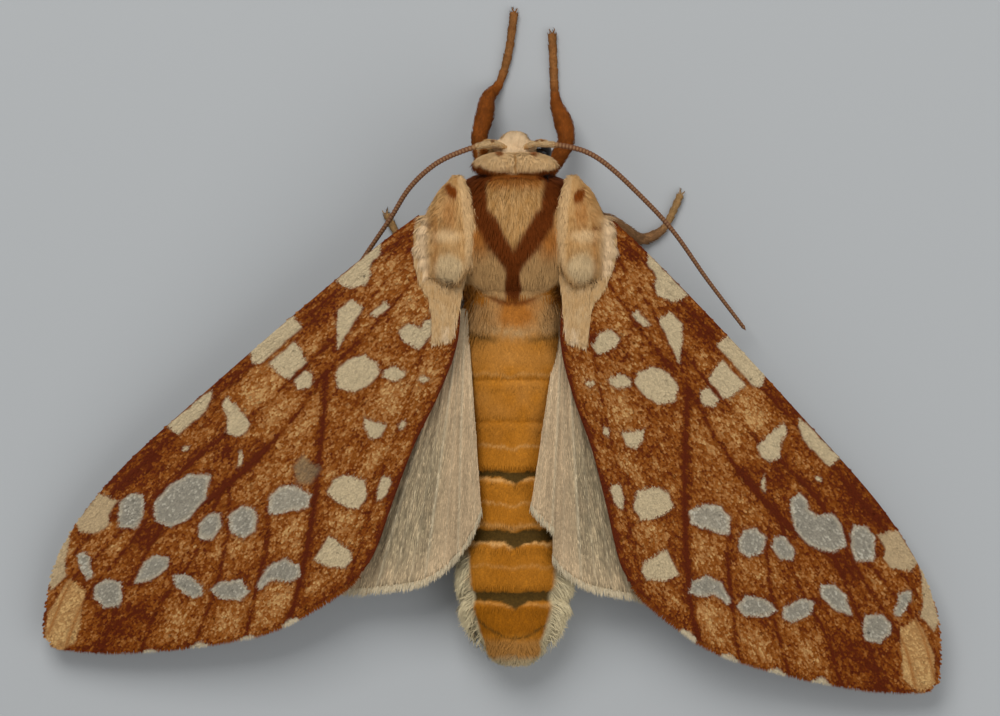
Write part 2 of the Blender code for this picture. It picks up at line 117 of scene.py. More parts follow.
# Each leg's points from hip to claw, with the radius of the limb and its hair. The tarsus has the last three points.
LEGS = {
    "foreleg_left": [
        (0.75, -1.9, 1.9, 0.42), (1.2, -2.8, 1.5, 0.4), (1.36, -3.7, 1.5, 0.38), (1.15, -4.7, 1.15, 0.44),
        (1.03, -5.35, 0.62, 0.34), (0.6, -5.95, 0.27, 0.26), (0.25, -7.1, 0.22, 0.25), (0.02, -8.7, 0.22, 0.26),
    ],
    "foreleg_right": [
        (-0.75, -1.9, 1.9, 0.42), (-1.5, -2.8, 1.6, 0.4), (-1.95, -3.6, 1.5, 0.4), (-1.88, -4.35, 1.1, 0.44),
        (-1.62, -5.1, 0.5, 0.3), (-1.55, -5.6, 0.27, 0.25), (-1.5, -6.6, 0.22, 0.25), (-1.45, -7.88, 0.22, 0.26),
    ],
    "midleg_left": [
        (1.2, -0.3, 1.5, 0.4), (2.2, 0.2, 1.7, 0.36), (3.1, 0.9, 1.7, 0.32), (3.5, 1.3, 0.95, 0.3),
        (3.75, 1.2, 0.35, 0.27), (4.05, 0.8, 0.22, 0.25), (4.45, 0.1, 0.22, 0.25), (4.95, -0.88, 0.22, 0.26),
    ],
    "midleg_right": [
        (-1.2, -0.3, 1.5, 0.4), (-2.4, -0.6, 1.75, 0.36), (-3.5, -0.6, 1.8, 0.32), (-4.3, -0.2, 1.0, 0.3),
        (-4.8, 0.06, 0.4, 0.27), (-5.2, 0.02, 0.22, 0.25), (-5.75, -0.32, 0.22, 0.25), (-6.13, -1.0, 0.22, 0.25),
        (-6.42, -1.65, 0.22, 0.26),
    ],
    "hindleg_left": [
        (1.0, 1.0, 1.5, 0.42), (2.2, 1.7, 1.7, 0.38), (3.3, 2.6, 1.75, 0.32), (4.0, 4.2, 1.1, 0.3),
        (4.5, 5.6, 0.45, 0.28), (4.7, 6.3, 0.22, 0.25), (5.0, 7.6, 0.22, 0.25), (5.3, 9.0, 0.22, 0.26),
    ],
    "hindleg_right": [
        (-1.0, 1.0, 1.5, 0.42), (-2.2, 1.8, 1.7, 0.38), (-3.2, 2.8, 1.75, 0.32), (-3.7, 4.5, 1.1, 0.3),
        (-4.0, 6.0, 0.45, 0.28), (-4.1, 6.7, 0.22, 0.25), (-4.3, 8.0, 0.22, 0.25), (-4.5, 9.4, 0.22, 0.26),
    ],
}

# ---------------------------------------------------------------- colours, as seen (0 to 255 in sRGB)

GLOSS = 0.008  # what the surfaces' gloss adds to a colour in this studio
HAIR_BRIGHT = 1 / 0.66  # makes up for the shade among the hairs of a coat
COLOURS = {
    "dark_brown": (88, 40, 10), "brown": (114, 59, 19), "mid_brown": (138, 81, 35), "tan": (162, 112, 65),
    "pale_tan": (185, 144, 92), "rim": (92, 42, 12), "cream_spot": (182, 163, 129), "clear_spot": (139, 132, 117),
    "clear_pale": (172, 160, 137), "glint": (180, 173, 156), "costal_cream": (172, 149, 114),
    "streak_tan": (184, 147, 96), "fur_cream": (170, 133, 88), "fur_pale": (182, 152, 112), "vertex": (192, 165, 130),
    "shield": (142, 104, 60), "lobe": (150, 116, 76), "fur_tan": (146, 106, 62), "fur_brown": (86, 45, 4),
    "rust": (138, 84, 38), "ochre": (151, 97, 36), "ochre_pale": (158, 112, 60), "ochre_deep": (128, 78, 26),
    "gap_dark": (68, 52, 30), "tuft_pale": (168, 154, 122), "hind_pink": (187, 161, 127),
    "hind_shaded_grey": (150, 134, 106), "fringe": (186, 170, 140), "antenna": (120, 77, 54), "leg_brown": (104, 58, 29),
    "leg_ochre": (120, 88, 60), "foot": (110, 74, 44), "foot_pale": (126, 98, 64),
}


def linear(seen):
    """The linear values that a surface needs to look like a colour seen in the photo's light."""
    seen = np.array(seen) / 255
    seen = np.where(seen <= 0.04045, seen / 12.92, ((seen + 0.055) / 1.055) ** 2.4)
    return np.maximum(seen - GLOSS, 0.002)


LIN = {name: linear(seen) for name, seen in COLOURS.items()}

# ---------------------------------------------------------------- small tools


def smooth_through(points):
    """A function through the points (x, value...), cubic between neighbours, for a number or an array."""
    table = np.array(points, float)
    xs, values = table[:, 0], table[:, 1:]
    slopes = np.empty_like(values)
    slopes[1:-1] = (values[2:] - values[:-2]) / (xs[2:] - xs[:-2])[:, None]
    slopes[0] = (values[1] - values[0]) / (xs[1] - xs[0])
    slopes[-1] = (values[-1] - values[-2]) / (xs[-1] - xs[-2])

    def at(x):
        x = np.atleast_1d(np.asarray(x, float))
        i = np.clip(np.searchsorted(xs, x, side="right") - 1, 0, len(xs) - 2)
        span = (xs[i + 1] - xs[i])[:, None]
        u = np.clip((x - xs[i])[:, None] / span, 0, 1)
        start = values[i] * (2 * u**3 - 3 * u**2 + 1) + slopes[i] * span * (u**3 - 2 * u**2 + u)
        return start + values[i + 1] * (3 * u**2 - 2 * u**3) + slopes[i + 1] * span * (u**3 - u**2)

    return at


def smooth_route(points):
    """A function from 0 to 1 along a smooth curve through the points, and the curve's rough length."""
    table = np.array(points, float)
    steps = np.linalg.norm(np.diff(table[:, :3], axis=0), axis=1)
    along = np.concatenate([[0], np.cumsum(steps)])
    curve = smooth_through(np.column_stack([along, table]))
    return (lambda share: curve(np.asarray(share) * along[-1])), along[-1]


def step(low, high, x):
    """0 below low, 1 above high, and smooth between."""
    u = np.clip((np.asarray(x, float) - low) / (high - low), 0, 1)
    return u * u * (3 - 2 * u)


def unit(vectors):
    return vectors / np.maximum(np.linalg.norm(vectors, axis=-1, keepdims=True), 1e-9)


def near(distance, reach):
    """1 at no distance, falling smoothly to almost nothing at twice the reach."""
    return np.exp(-((distance / reach) ** 2))


def columns_of(*values):
    """One array with a last axis that has a column for each value."""
    return np.stack(np.broadcast_arrays(*values), axis=-1)


def round_angles(sides):
    return np.linspace(0, 2 * math.pi, sides, endpoint=False)


def in_map(share):
    """A share of the way across the map, kept a little off its border."""
    return 0.02 + 0.96 * share


def lattice(i, j, k, seed):
    h = (i * 374761393 + j * 668265263 + k * 1442695041 + seed * 974634777) & 0xFFFFFFFF
    h = ((h ^ (h >> 13)) * 1274126177) & 0xFFFFFFFF
    return ((h ^ (h >> 16)) & 0xFFFF) / 65535


def noise(size, seed, *axes):
    """Smooth noise from 0 to 1 whose blotches are about size across."""
    shifted = [np.asarray(a, float) / size + 1000 + 7.3 * seed for a in axes]  # away from 0, and apart for each seed
    shifted += [np.zeros_like(shifted[0])] * (3 - len(axes))
    cells = [np.floor(a) for a in shifted]
    parts = [a - cell for a, cell in zip(shifted, cells)]
    fades = [p * p * (3 - 2 * p) for p in parts]
    total = 0
    for corner in np.ndindex(2, 2, 2):
        weight = 1
        for fade, beyond in zip(fades, corner):
            weight = weight * (fade if beyond else 1 - fade)
        total = total + weight * lattice(*[cell.astype(np.int64) + beyond for cell, beyond in zip(cells, corner)], seed)
    return total


def blend(base, other, share):
    """Mixes two colours, each given by its name or its values, by a share or an array of shares."""
    base, other = (LIN[colour] if isinstance(colour, str) else colour for colour in (base, other))
    share = np.asarray(share, float)[..., None]
    return base * (1 - share) + other * share


def paint(colour, *coats):
    """The colour under one coat after another, each given by its colour and its share."""
    for other, share in coats:
        colour = blend(colour, other, share)
    return colour


def plain(name, count):
    return np.broadcast_to(LIN[name], (count, 3))


# ---------------------------------------------------------------- materials


def set_inputs(node, inputs):
    """Sets a node's inputs, or links them where the value is the output of another node."""
    for key, value in inputs.items():
        if isinstance(value, bpy.types.NodeSocket):
            node.id_data.links.new(value, node.inputs[key])
        else:
            node.inputs[key].default_value = value
    return node


def new_material(name):
    """A material, a function that adds a node with its inputs to it, and its shader."""
    made = bpy.data.materials.new(name)
    made.use_nodes = True
    nodes = made.node_tree.nodes

    def add(kind, inputs=None):
        return set_inputs(nodes.new("ShaderNode" + kind), inputs or {})

    return made, add, nodes["Principled BSDF"]


def coat_material(name, roughness, grain, grain_size, sheen=0.0, bump=0.3):
    """Colour from the mesh's own markings, varied by a fine grain that also roughens and dents the surface."""
    made, add, shader = new_material(name)
    markings = add("Attribute")
    markings.attribute_name = "Markings"
    place = add("TexCoord").outputs["Object"]
    fine = add("TexNoise", {"Vector": place, "Scale": 1 / (grain_size * MM), "Detail": 3}).outputs["Fac"]
    shade = add("MapRange", {"Value": fine, "From Min": 0.3, "From Max": 0.7, "To Min": 1 - grain, "To Max": 1 + grain})
    tint = add("VectorMath")
    tint.operation = "SCALE"
    set_inputs(tint, {0: markings.outputs["Color"], "Scale": shade.outputs["Result"]})
    gloss = add("MapRange", {"Value": fine, "To Min": roughness - 0.08, "To Max": roughness + 0.08})
    dent = add("Bump", {"Height": fine, "Strength": bump, "Distance": 0.02 * MM})
    set_inputs(shader, {
        "Base Color": tint.outputs["Vector"], "Roughness": gloss.outputs["Result"], "Normal": dent.outputs["Normal"],
        "Sheen Weight": sheen, "Sheen Roughness": 0.4, "Specular IOR Level": 0.06,
    })
    return made


def eye_material(name):
    """Glossy black with the fine facets of a compound eye."""
    made, add, shader = new_material(name)
    place = add("TexCoord").outputs["Object"]
    facets = add("TexVoronoi", {"Vector": place, "Scale": 1 / (0.035 * MM), "Randomness": 0.25}).outputs["Distance"]
    dent = add("Bump", {"Height": facets, "Strength": 0.06, "Distance": 0.01 * MM})
    dent.invert = True
    ramp = add("ValToRGB", {"Fac": facets})
    ramp.color_ramp.elements[0].color = (0.004, 0.003, 0.003, 1)
    ramp.color_ramp.elements[1].color = (0.01, 0.005, 0.003, 1)
    set_inputs(shader, {
        "Normal": dent.outputs["Normal"], "Base Color": ramp.outputs["Color"], "Roughness": 0.07,
        "Specular IOR Level": 0.25,
    })
    return made


# Each coat's roughness, the strength and size of its grain, its sheen and how strong its bumps are
COATS = {
    "wing_scales": (0.62, 0.16, 0.045), "wing_membrane": (0.6, 0.25, 0.09, 0.0, 0.6),
    "hindwing_membrane": (0.5, 0.14, 0.12, 0.0, 0.4), "hindwing_scales": (0.55, 0.1, 0.06, 0.03),
    "skin": (0.75, 0.2, 0.08, 0.0, 0.6), "fur": (0.8, 0.07, 0.04, 0.04), "body_scales": (0.62, 0.08, 0.05, 0.03),
    "leg_scales": (0.7, 0.08, 0.05, 0.03), "antenna": (0.55, 0.14, 0.04),
}
MATERIALS = {name: coat_material(name, *values) for name, values in COATS.items()}
MATERIALS["eye_black"] = eye_material("eye_black")

# ---------------------------------------------------------------- meshes


def new_object(name, data):
    made = bpy.data.objects.new(name, data)
    bpy.context.scene.collection.objects.link(made)
    return made


def new_mesh(name, points, faces):
    mesh = bpy.data.meshes.new(name)
    mesh.from_pydata(points.tolist(), [], faces)
    mesh.validate()
    return mesh


def add_piece(name, points, faces, material, slot, colours, uv, smooth=True, facing=None):
    """A mesh object in the frame from points in millimetres, riding on the body.

    colours has one linear colour for each point, uv one place, and facing one normal where the shading has its own.
    """
    points = np.array(points, float)
    points[:, 2] = np.maximum(points[:, 2], 0)  # nothing sinks into the floor
    mesh = new_mesh(name, points * MM + ORIGIN, faces)
    if colours is not None:
        rgba = np.ones((len(points), 4))
        rgba[:, :3] = np.clip(colours, 0, 1)
        mesh.color_attributes.new("Markings", "FLOAT_COLOR", "POINT").data.foreach_set("color", rgba.ravel())
    corner = np.empty(len(mesh.loops), int)
    mesh.loops.foreach_get("vertex_index", corner)
    mesh.uv_layers.new(name="OFBake").data.foreach_set("uv", uv[corner].ravel())
    mesh.polygons.foreach_set("use_smooth", np.full(len(mesh.polygons), smooth))
    if facing is not None:
        mesh.normals_split_custom_set_from_vertices(facing.tolist())
    mesh.materials.append(MATERIALS[material])
    piece = new_object(name, mesh)
    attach(piece, "root")
    return piece


def grid_faces(rows, columns, start=0, wrap=False, flip=False):
    """Quads between neighbouring points of a grid, as point numbers."""
    r = np.arange(rows - 1)[:, None]
    c = np.arange(columns if wrap else columns - 1)[None, :]
    right = (c + 1) % columns
    quads = columns_of(r * columns + c, r * columns + right, (r + 1) * columns + right, (r + 1) * columns + c)
    quads = quads.reshape(-1, 4) + start
    return (quads[:, ::-1] if flip else quads).tolist()


def tube_faces(rings, sides, flip=False):
    """The faces of a row of rings, closed with one flat face at each end."""
    ends = [list(range(sides))[::-1], list(range((rings - 1) * sides, rings * sides))]
    return grid_faces(rings, sides, wrap=True, flip=flip) + [end[::-1] if flip else end for end in ends]


UV_PATCH = 0.003  # the width of one small bit's patch of the map


def patches(root_uv, pattern):
    """UV places for many small bits that share one pattern of corners, each a patch about its root's place."""
    pattern = np.array(pattern, float)
    return (root_uv[:, None, :] + (pattern[None] - 0.5) * UV_PATCH).reshape(-1, 2)


def repeated(pattern, count, points_each):
    """The faces of count copies of one small bit."""
    starts = (np.arange(count) * points_each)[:, None]
    return [row for face in pattern for row in (np.array(face) + starts).tolist()]


def drawn(rng, count, *sizes):
    """Each size as a column: drawn at random for every bit where it is a range, and otherwise as it is given."""
    return [(rng.uniform(*size, count) if isinstance(size, tuple) else size)[:, None] for size in sizes]


def add_bits(name, material, slot, corners, faces, uv, colours, root_uv, **shading):
    """One piece of many alike bits: corners has a list of points, one for each bit, for every corner of a bit."""
    add_piece(
        name, np.stack(corners, axis=1).reshape(-1, 3), repeated(faces, len(root_uv), len(corners)), material, slot,
        colours.reshape(-1, 3), patches(root_uv, uv), **shading,
    )


HAIR_FACES = [(0, 3, 4, 1), (1, 4, 5, 2), (2, 5, 3, 0), (3, 6, 4), (4, 6, 5), (5, 6, 3), (0, 1, 2)]
HAIR_UV = [(0, 0), (1, 0), (0.5, 0), (0, 0.5), (1, 0.5), (0.5, 0.5), (0.5, 1)]
HAIR_SHADE = [0.88, 0.88, 0.91, 0.97, 0.97, 1.0, 1.03]  # darker at the root, lighter at the tip
HAIR_ROUND = 0.35  # how far the shading goes round a lock, from 0, as flat as the skin under it
HAIR_SINK = 0.03
SCALE_FACES = [(0, 4, 5, 2), (1, 3, 5, 4), (0, 1, 4), (3, 2, 5), (0, 2, 3, 1)]
SCALE_UV = [(0, 0), (1, 0), (0, 1), (1, 1), (0.5, 0), (0.5, 1)]
SCALE_SHADE = [0.85, 0.85, 0.95, 0.95, 0.95, 1.06]
SCALE_BRIGHT = 1.12  # makes up for the shade between the scales
SCALE_SINK, SCALE_THICK = 0.01, 0.018


def add_hairs(name, material, slot, rng, roots, normals, lies, length, width, lift, colours, root_uv,
              bright=HAIR_BRIGHT):
    """Thin tapering locks: three points round the root, three half way along and one at the tip.

    Each has one colour, or one for the root, the middle and the tip. The shading follows the skin under the locks,
    so that they read as one soft coat.
    """
    length, width, lift = drawn(rng, len(roots), length, width, lift)
    side = unit(np.cross(lies, normals))
    start = roots - normals * HAIR_SINK
    middle = roots + lies * length * 0.5 + normals * lift * 0.75
    tip = roots + lies * length + normals * lift
    ring = [start - side * width * 0.35, start + side * width * 0.35, start + normals * width * 0.4]
    ring += [middle - side * width * 0.5, middle + side * width * 0.5, middle + normals * width * 0.45, tip]
    if colours.ndim == 2:
        colours = np.stack([colours] * 3, axis=1)
    tinted = colours[:, [0, 0, 0, 1, 1, 1, 2]] * bright * np.array(HAIR_SHADE)[:, None]
    side = side * HAIR_ROUND
    facing = unit(np.stack([normals - side, normals + side, normals] * 2 + [normals + lies * 0.1], axis=1))
    add_bits(name, material, slot, ring, HAIR_FACES, HAIR_UV, tinted, root_uv, facing=facing.reshape(-1, 3))


def add_scales(name, material, slot, rng, roots, normals, lies, length, width, lift, colours, root_uv):
    """Flat overlapping scales with a low ridge, and a colour for each side and one for the tip."""
    length, width, lift = drawn(rng, len(roots), length, width, lift)
    side = unit(np.cross(lies, normals))
    start = roots - normals * SCALE_SINK
    end = roots + lies * length * 0.82 + normals * lift
    ridge = roots + lies * length + normals * (lift + SCALE_THICK * 0.4)
    ring = [start - side * width * 0.3, start + side * width * 0.3, end - side * width * 0.5, end + side * width * 0.5]
    ring += [start + normals * SCALE_THICK, ridge]
    tinted = colours[:, [0, 1, 0, 1, 2, 2]] * np.array(SCALE_SHADE)[:, None] * SCALE_BRIGHT
    add_bits(name, material, slot, ring, SCALE_FACES, SCALE_UV, tinted, root_uv, smooth=False)


# ---------------------------------------------------------------- forewings: shape

leading, trailing = smooth_through(LEADING_EDGE), smooth_through(TRAILING_EDGE)
FRINGE = 0.24  # the scales past the membrane's edge
FRONT_INSET, BACK_INSET = 0.06, 0.05
MEMBRANE_RISE = 0.08  # the membrane's middle above the middle of the solid


def wing_edges(s):
    """Where the membrane's front and back edges are, inside the outline by the fringe."""
    s = np.asarray(s, float)
    front, back = leading(s)[:, 0], trailing(s)[:, 0]
    inset = FRINGE * step(11, 13, s)
    return front - FRONT_INSET, np.minimum(back + inset + BACK_INSET, front - 0.07)


def wing_plane(x, y):
    return WING_HEIGHT - FALL_OUTWARDS * (np.abs(x) - HINGE_X) - FALL_BACKWARDS * y


def wing_point(side, s, t, rise=0.0):
    """Points on the forewing from their places along it."""
    s, t = np.broadcast_arrays(np.asarray(s, float), np.asarray(t, float))
    shape = s.shape
    s, t = s.ravel(), t.ravel()
    turn = math.radians(SPREAD_DEG[side])
    x = SIDES[side] * (HINGE_X + s * math.cos(turn) + t * math.sin(turn))
    y = s * math.sin(turn) - t * math.cos(turn)
    front, back = leading(s)[:, 0], trailing(s)[:, 0]
    chord = np.maximum(front - back, 0.01)
    share = np.clip(2 * (t - back) / chord - 1, -1, 1)
    z = wing_plane(x, y) + WING_CAMBER * (1 - share**2) * np.minimum(1, chord / 6) + MEMBRANE_RISE + np.ravel(rise)
    return np.stack([x, y, z], axis=-1).reshape(*shape, 3)


# Veins as (s, t) routes from the base to the margin
VEINS = [
    [(2, 1.7), (7, 2.05), (12, 2.3), (16, 2.35), (18.2, 2.2)],
    [(2, 1.1), (6, 0.75), (10, 0.75), (13, 1.05), (16, 1.15), (18, 1.75), (20.6, 1.5)],
    [(13, 1.05), (16, 1.05), (18.3, 1.0), (20.3, 0.95), (22.3, 0.15)],
    [(16.2, 0.7), (18.4, 0.35), (20.4, 0.1), (22.2, -0.7)],
    [(16.2, 0.1), (18.4, -0.55), (20.2, -1.2), (21.4, -1.8)],
    [(13.6, -0.5), (16, -1.55), (18.2, -2.0), (20.2, -2.8)],
    [(13.2, -0.55), (14.4, -1.7), (16.2, -2.95), (18.6, -4.1)],
    [(12.2, -0.6), (13.1, -2.6), (15, -4.0), (16.9, -5.25)],
    [(2, 0.3), (5, 0.0), (7.6, 0.0), (10, -0.45), (13.4, -0.5), (16.2, 0.1)],
    [(7.6, 0.0), (8.6, -0.95), (10.5, -2.6), (12, -3.8), (14, -5.2), (15.6, -6.0)],
    [(2.4, -0.8), (5, -2.35), (8, -3.9), (11, -5.55), (12.6, -6.4)],
]
DARK_VEIN = 9


def line_depth(s, t, route):
    """How far inside a line each place is, negative outside. The route has the line's half width at each point."""
    best = np.full(np.shape(s), -1e9)
    for (s0, t0, w0), (s1, t1, w1) in zip(route, route[1:]):
        ds, dt = s1 - s0, t1 - t0
        along = np.clip(((s - s0) * ds + (t - t0) * dt) / (ds * ds + dt * dt), 0, 1)
        best = np.maximum(best, (w0 + (w1 - w0) * along) - np.hypot(s - s0 - along * ds, t - t0 - along * dt))
    return best


def route_distance(s, t, route):
    """Distance from each place to a line through the route's points."""
    return -line_depth(s, t, [(*place, 0) for place in route])


def rounded(route, steps=8):
    """The route as a smooth line with more points."""
    curve, _ = smooth_route([(s, t, 0) for s, t in route])
    return [tuple(p[:2]) for p in curve(np.linspace(0, 1, steps * (len(route) - 1)))]


SMOOTH_VEINS = [rounded(route) for route in VEINS]


def vein_distances(s, t):
    return np.stack([route_distance(s, t, route) for route in SMOOTH_VEINS])


MEMBRANE_HALF, FRONT_RIB, FRONT_RIB_WIDTH = 0.035, 0.08, 0.3
VEIN_RISE, VEIN_WIDTH = 0.035, 0.09


def membrane_form(s, t):
    """Half the membrane's thickness, which grows towards its front edge, and how far its veins stand out."""
    half = MEMBRANE_HALF + FRONT_RIB * near(wing_edges(s)[0] - t, FRONT_RIB_WIDTH)
    return half, VEIN_RISE * near(vein_distances(s, t).min(axis=0), VEIN_WIDTH)


# ---------------------------------------------------------------- forewings: markings

# Each spot's outline in (s, t). Where the two wings differ, the spot is in the list of one side.
CREAM_SPOTS = [
    [(2.7, 2.1), (4.9, 2.25), (4.75, 1.7), (4.2, 1.35), (3.8, 1.5), (3.6, 1.8), (3.0, 1.85)],
    [(4.9, 0.8), (5.0, 1.3), (5.6, 1.4), (6.1, 0.95), (6.65, 0.35), (5.6, 0.6)],
    [(4.1, 0.15), (4.15, 0.4), (4.85, 0.42), (4.7, 0.15)],
    [(7.05, 2.45), (9.1, 2.6), (9.4, 2.2), (9.1, 1.95), (7.05, 1.88)],
    [(7.6, 1.65), (8.9, 1.75), (8.9, 1.0), (8.75, 0.78), (7.85, 0.82), (7.7, 1.3)],
    [(8.0, 0.3), (8.1, 0.62), (8.7, 0.62), (8.82, 0.3), (8.5, 0.05), (8.25, 0.08)],
    [(5.95, -1.05), (6.1, -0.5), (6.7, -0.2), (7.3, -0.25), (7.65, -0.7), (7.3, -1.3), (6.6, -1.5), (6.1, -1.4)],
    [(5.4, -2.05), (5.5, -1.7), (5.95, -1.45), (6.15, -1.6), (5.9, -2.1), (5.55, -2.2)],
    [(3.8, -1.3), (4.0, -0.85), (4.5, -0.8), (4.65, -1.2), (4.4, -1.8), (4.05, -1.8)],
    [(4.95, -2.8), (5.05, -2.6), (5.2, -2.65), (5.15, -2.85), (5.0, -2.92)],
    [(7.25, -3.05), (7.55, -2.65), (7.7, -2.25), (8.0, -2.6), (8.1, -3.0), (7.7, -3.22)],
    [(6.65, -3.4), (6.9, -3.33), (7.05, -3.5), (6.85, -3.6)],
    [(11.2, 2.55), (13.45, 2.75), (13.35, 2.2), (12.0, 2.12), (11.5, 2.3)],
    [(11.0, 1.95), (11.35, 1.85), (11.55, 1.3), (11.9, 1.05), (11.8, 0.62), (11.4, 0.48), (11.05, 0.6), (10.95, 1.15)],
    [(13.35, 1.6), (13.55, 1.75), (13.68, 1.65), (13.45, 1.52)],
    [(12.0, 0.15), (12.2, 0.0), (12.55, -0.3), (12.3, -0.32), (12.1, -0.12)],
    [(9.35, -4.0), (9.75, -3.35), (10.2, -3.15), (10.7, -3.35), (10.65, -4.0), (10.3, -4.6), (9.8, -4.55)],
    [(8.55, -4.6), (8.75, -4.35), (9.3, -4.6), (9.55, -4.9), (9.1, -4.95), (8.7, -4.8)],
    [(11.6, -5.5), (11.8, -4.6), (12.3, -4.7), (12.85, -4.85), (12.6, -5.45), (12.15, -5.9), (11.8, -5.8)],
]
CLEAR_SPOTS = [
    [(15.75, 1.5), (16.1, 1.85), (16.6, 1.85), (17.1, 1.4), (17.3, 1.2), (16.85, 0.7), (16.3, 0.85), (15.9, 1.2)],
    [(18.95, 1.45), (19.2, 1.55), (19.4, 1.3), (19.6, 0.6), (19.35, 0.5), (19.1, 0.95), (18.9, 1.1)],
    [(18.65, -0.35), (19.1, 0.15), (19.5, 0.2), (19.85, -0.1), (19.85, -0.6), (19.4, -0.95), (19.0, -0.8)],
    [(14.1, -1.1), (14.4, -0.8), (15.0, -0.85), (15.25, -1.15), (14.9, -1.5), (14.3, -1.45)],
    [(13.1, -1.9), (13.35, -1.45), (13.9, -1.4), (14.25, -1.85), (14.0, -2.4), (13.6, -2.5), (13.25, -2.2)],
    [
        (11.2, -3.0), (11.4, -2.3), (11.9, -1.95), (12.4, -1.95), (12.9, -2.4), (12.35, -2.8), (11.95, -3.08),
        (11.6, -3.2),
    ],
    [(16.65, -0.95), (17.0, -0.5), (17.6, -0.45), (18.35, -0.78), (17.8, -1.1), (17.0, -1.2)],
    [(16.4, -2.5), (16.6, -1.8), (17.0, -1.55), (17.25, -1.9), (17.05, -2.7), (16.65, -2.85)],
    [(15.1, -3.4), (15.7, -2.9), (16.3, -2.85), (16.25, -3.3), (15.7, -3.9), (15.2, -3.9)],
    [
        (13.35, -4.65), (13.5, -4.05), (14.1, -3.8), (14.9, -3.95), (14.9, -4.15), (14.35, -4.25), (13.9, -4.85),
        (13.6, -4.95),
    ],
]
SIDE_CLEAR_SPOTS = {
    "left": [
        [(13.4, 0.2), (13.9, 0.8), (14.7, 1.02), (15.6, 0.95), (16.1, 0.4), (15.8, -0.2), (15.0, -0.42), (14.1, -0.3)]
    ],
    "right": [
        [
            (13.35, 0.3), (13.45, 0.72), (13.85, 0.75), (14.15, 0.55), (14.5, 0.65), (14.85, 1.15), (15.4, 1.15),
            (16.1, 0.8), (16.05, 0.3), (15.6, -0.1), (15.1, -0.32), (14.5, -0.35), (13.9, -0.12),
        ]
    ],
}
SIDE_CREAM_SPOTS = {"left": [[(3.3, -1.4), (3.5, -1.2), (4.1, -1.4), (4.0, -1.7), (3.5, -1.8)]], "right": []}
SMOKY_PATCH = [(10.4, -1.7), (10.95, -1.7), (11.3, -2.3), (10.9, -2.65), (10.3, -2.5)]
COSTAL_SPOTS = [
    [(16.6, 1.95), (17.0, 2.68), (18.4, 2.5), (18.5, 2.1), (18.0, 1.58), (17.5, 1.55), (17.25, 1.85)],
    [(18.4, 2.6), (19.4, 2.3), (20.7, 1.7), (20.9, 1.3), (20.1, 1.25), (19.7, 1.75), (19.0, 2.2)],
]
STREAK = [(19.95, 0.3), (20.05, 1.1), (21.6, 0.7), (22.5, -0.05), (22.3, -0.7), (21.5, -0.78)]
BASAL_STREAK = [
    (0.5, 2.0), (1.3, 1.7), (2.2, 0.8), (2.65, 0.0), (2.8, -0.8), (3.4, -1.5), (3.95, -1.95), (3.25, -2.4), (2.2, -1.7),
    (0.4, -0.5),
]
MARGIN_DOTS = {
    "left": [(20.0, -3.2), (18.4, -4.3), (16.9, -5.4), (15.2, -6.1)],
    "right": [(19.6, -3.35), (18.2, -4.45), (16.6, -5.5), (14.85, -6.15)],
}
# Blotches of paler ground, and of darker ground: (s, t, reach along s, reach along t, strength)
PALE_GROUND = [
    (3.3, 0.9, 1.1, 1.0, 0.5), (3.4, -0.4, 0.7, 0.5, 0.5), (5.4, -2.7, 1.9, 0.75, 0.62), (6.6, -2.4, 0.8, 0.5, 0.85),
    (8.2, -3.6, 1.2, 0.5, 0.45), (9.9, 1.2, 1.05, 0.55, 1.15), (12.6, 1.5, 1.0, 0.5, 0.55), (9.6, -0.9, 1.5, 0.5, 0.5),
    (11.8, -1.4, 1.7, 0.55, 0.5), (9.6, -2.9, 0.8, 0.7, 0.35), (12.7, -3.5, 1.2, 0.6, 0.5),
    (14.8, -2.5, 1.0, 0.6, 0.45), (15.2, -5.1, 1.2, 0.7, 0.85), (13.2, -5.5, 0.7, 0.4, 0.5),
    (18.3, -3.1, 1.5, 0.8, 0.5), (16.8, -4.25, 1.2, 0.6, 0.6), (18.0, 1.0, 0.8, 0.8, 0.55),
    (19.6, 1.75, 0.7, 0.45, 0.5), (18.3, 0.2, 0.7, 0.5, 0.4), (11.2, -4.6, 0.6, 0.5, 0.5), (7.2, 1.3, 0.5, 0.6, 0.35),
    (14.2, 1.5, 1.0, 0.3, 0.1), (19.6, -2.0, 1.0, 0.5, 0.25), (10.0, 0.2, 1.5, 0.4, 0.45),
]
DARK_GROUND = [
    (6.1, 1.9, 1.1, 0.45, 0.7), (10.3, 2.4, 0.9, 0.3, 0.7), (15.1, 2.1, 1.8, 0.6, 0.95), (12.3, 0.7, 0.8, 0.8, 0.8),
    (13.2, 1.2, 1.0, 0.45, 0.8), (17.0, 0.2, 0.9, 0.4, 0.7), (20.2, -1.6, 1.9, 0.65, 0.9), (6.9, 0.5, 0.7, 0.5, 0.5),
    (19.4, -1.3, 1.0, 0.35, 0.6), (17.2, 1.0, 0.5, 0.3, 0.4), (2.0, 1.3, 0.6, 0.5, 0.5), (12.5, -0.45, 1.6, 0.2, 0.8),
]


def polygon_distance(s, t, corners):
    """Signed distance to a polygon, negative inside."""
    best = route_distance(s, t, corners + corners[:1])
    inside = np.zeros(np.shape(s), bool)
    for (s0, t0), (s1, t1) in zip(corners, corners[1:] + corners[:1]):
        crosses = (t0 > t) != (t1 > t)
        inside ^= crosses & (s < (s1 - s0) * (t - t0) / (t1 - t0 + 1e-12) + s0)
    return np.where(inside, -best, best)


def nearest_of(s, t, outlines):
    return np.min([polygon_distance(s, t, outline) for outline in outlines], axis=0)


def blotches(s, t, table):
    total = np.zeros(np.shape(s))
    for s0, t0, along, across, strength in table:
        total = np.maximum(total, strength * np.exp(-(((s - s0) / along) ** 2) - ((t - t0) / across) ** 2))
    return total


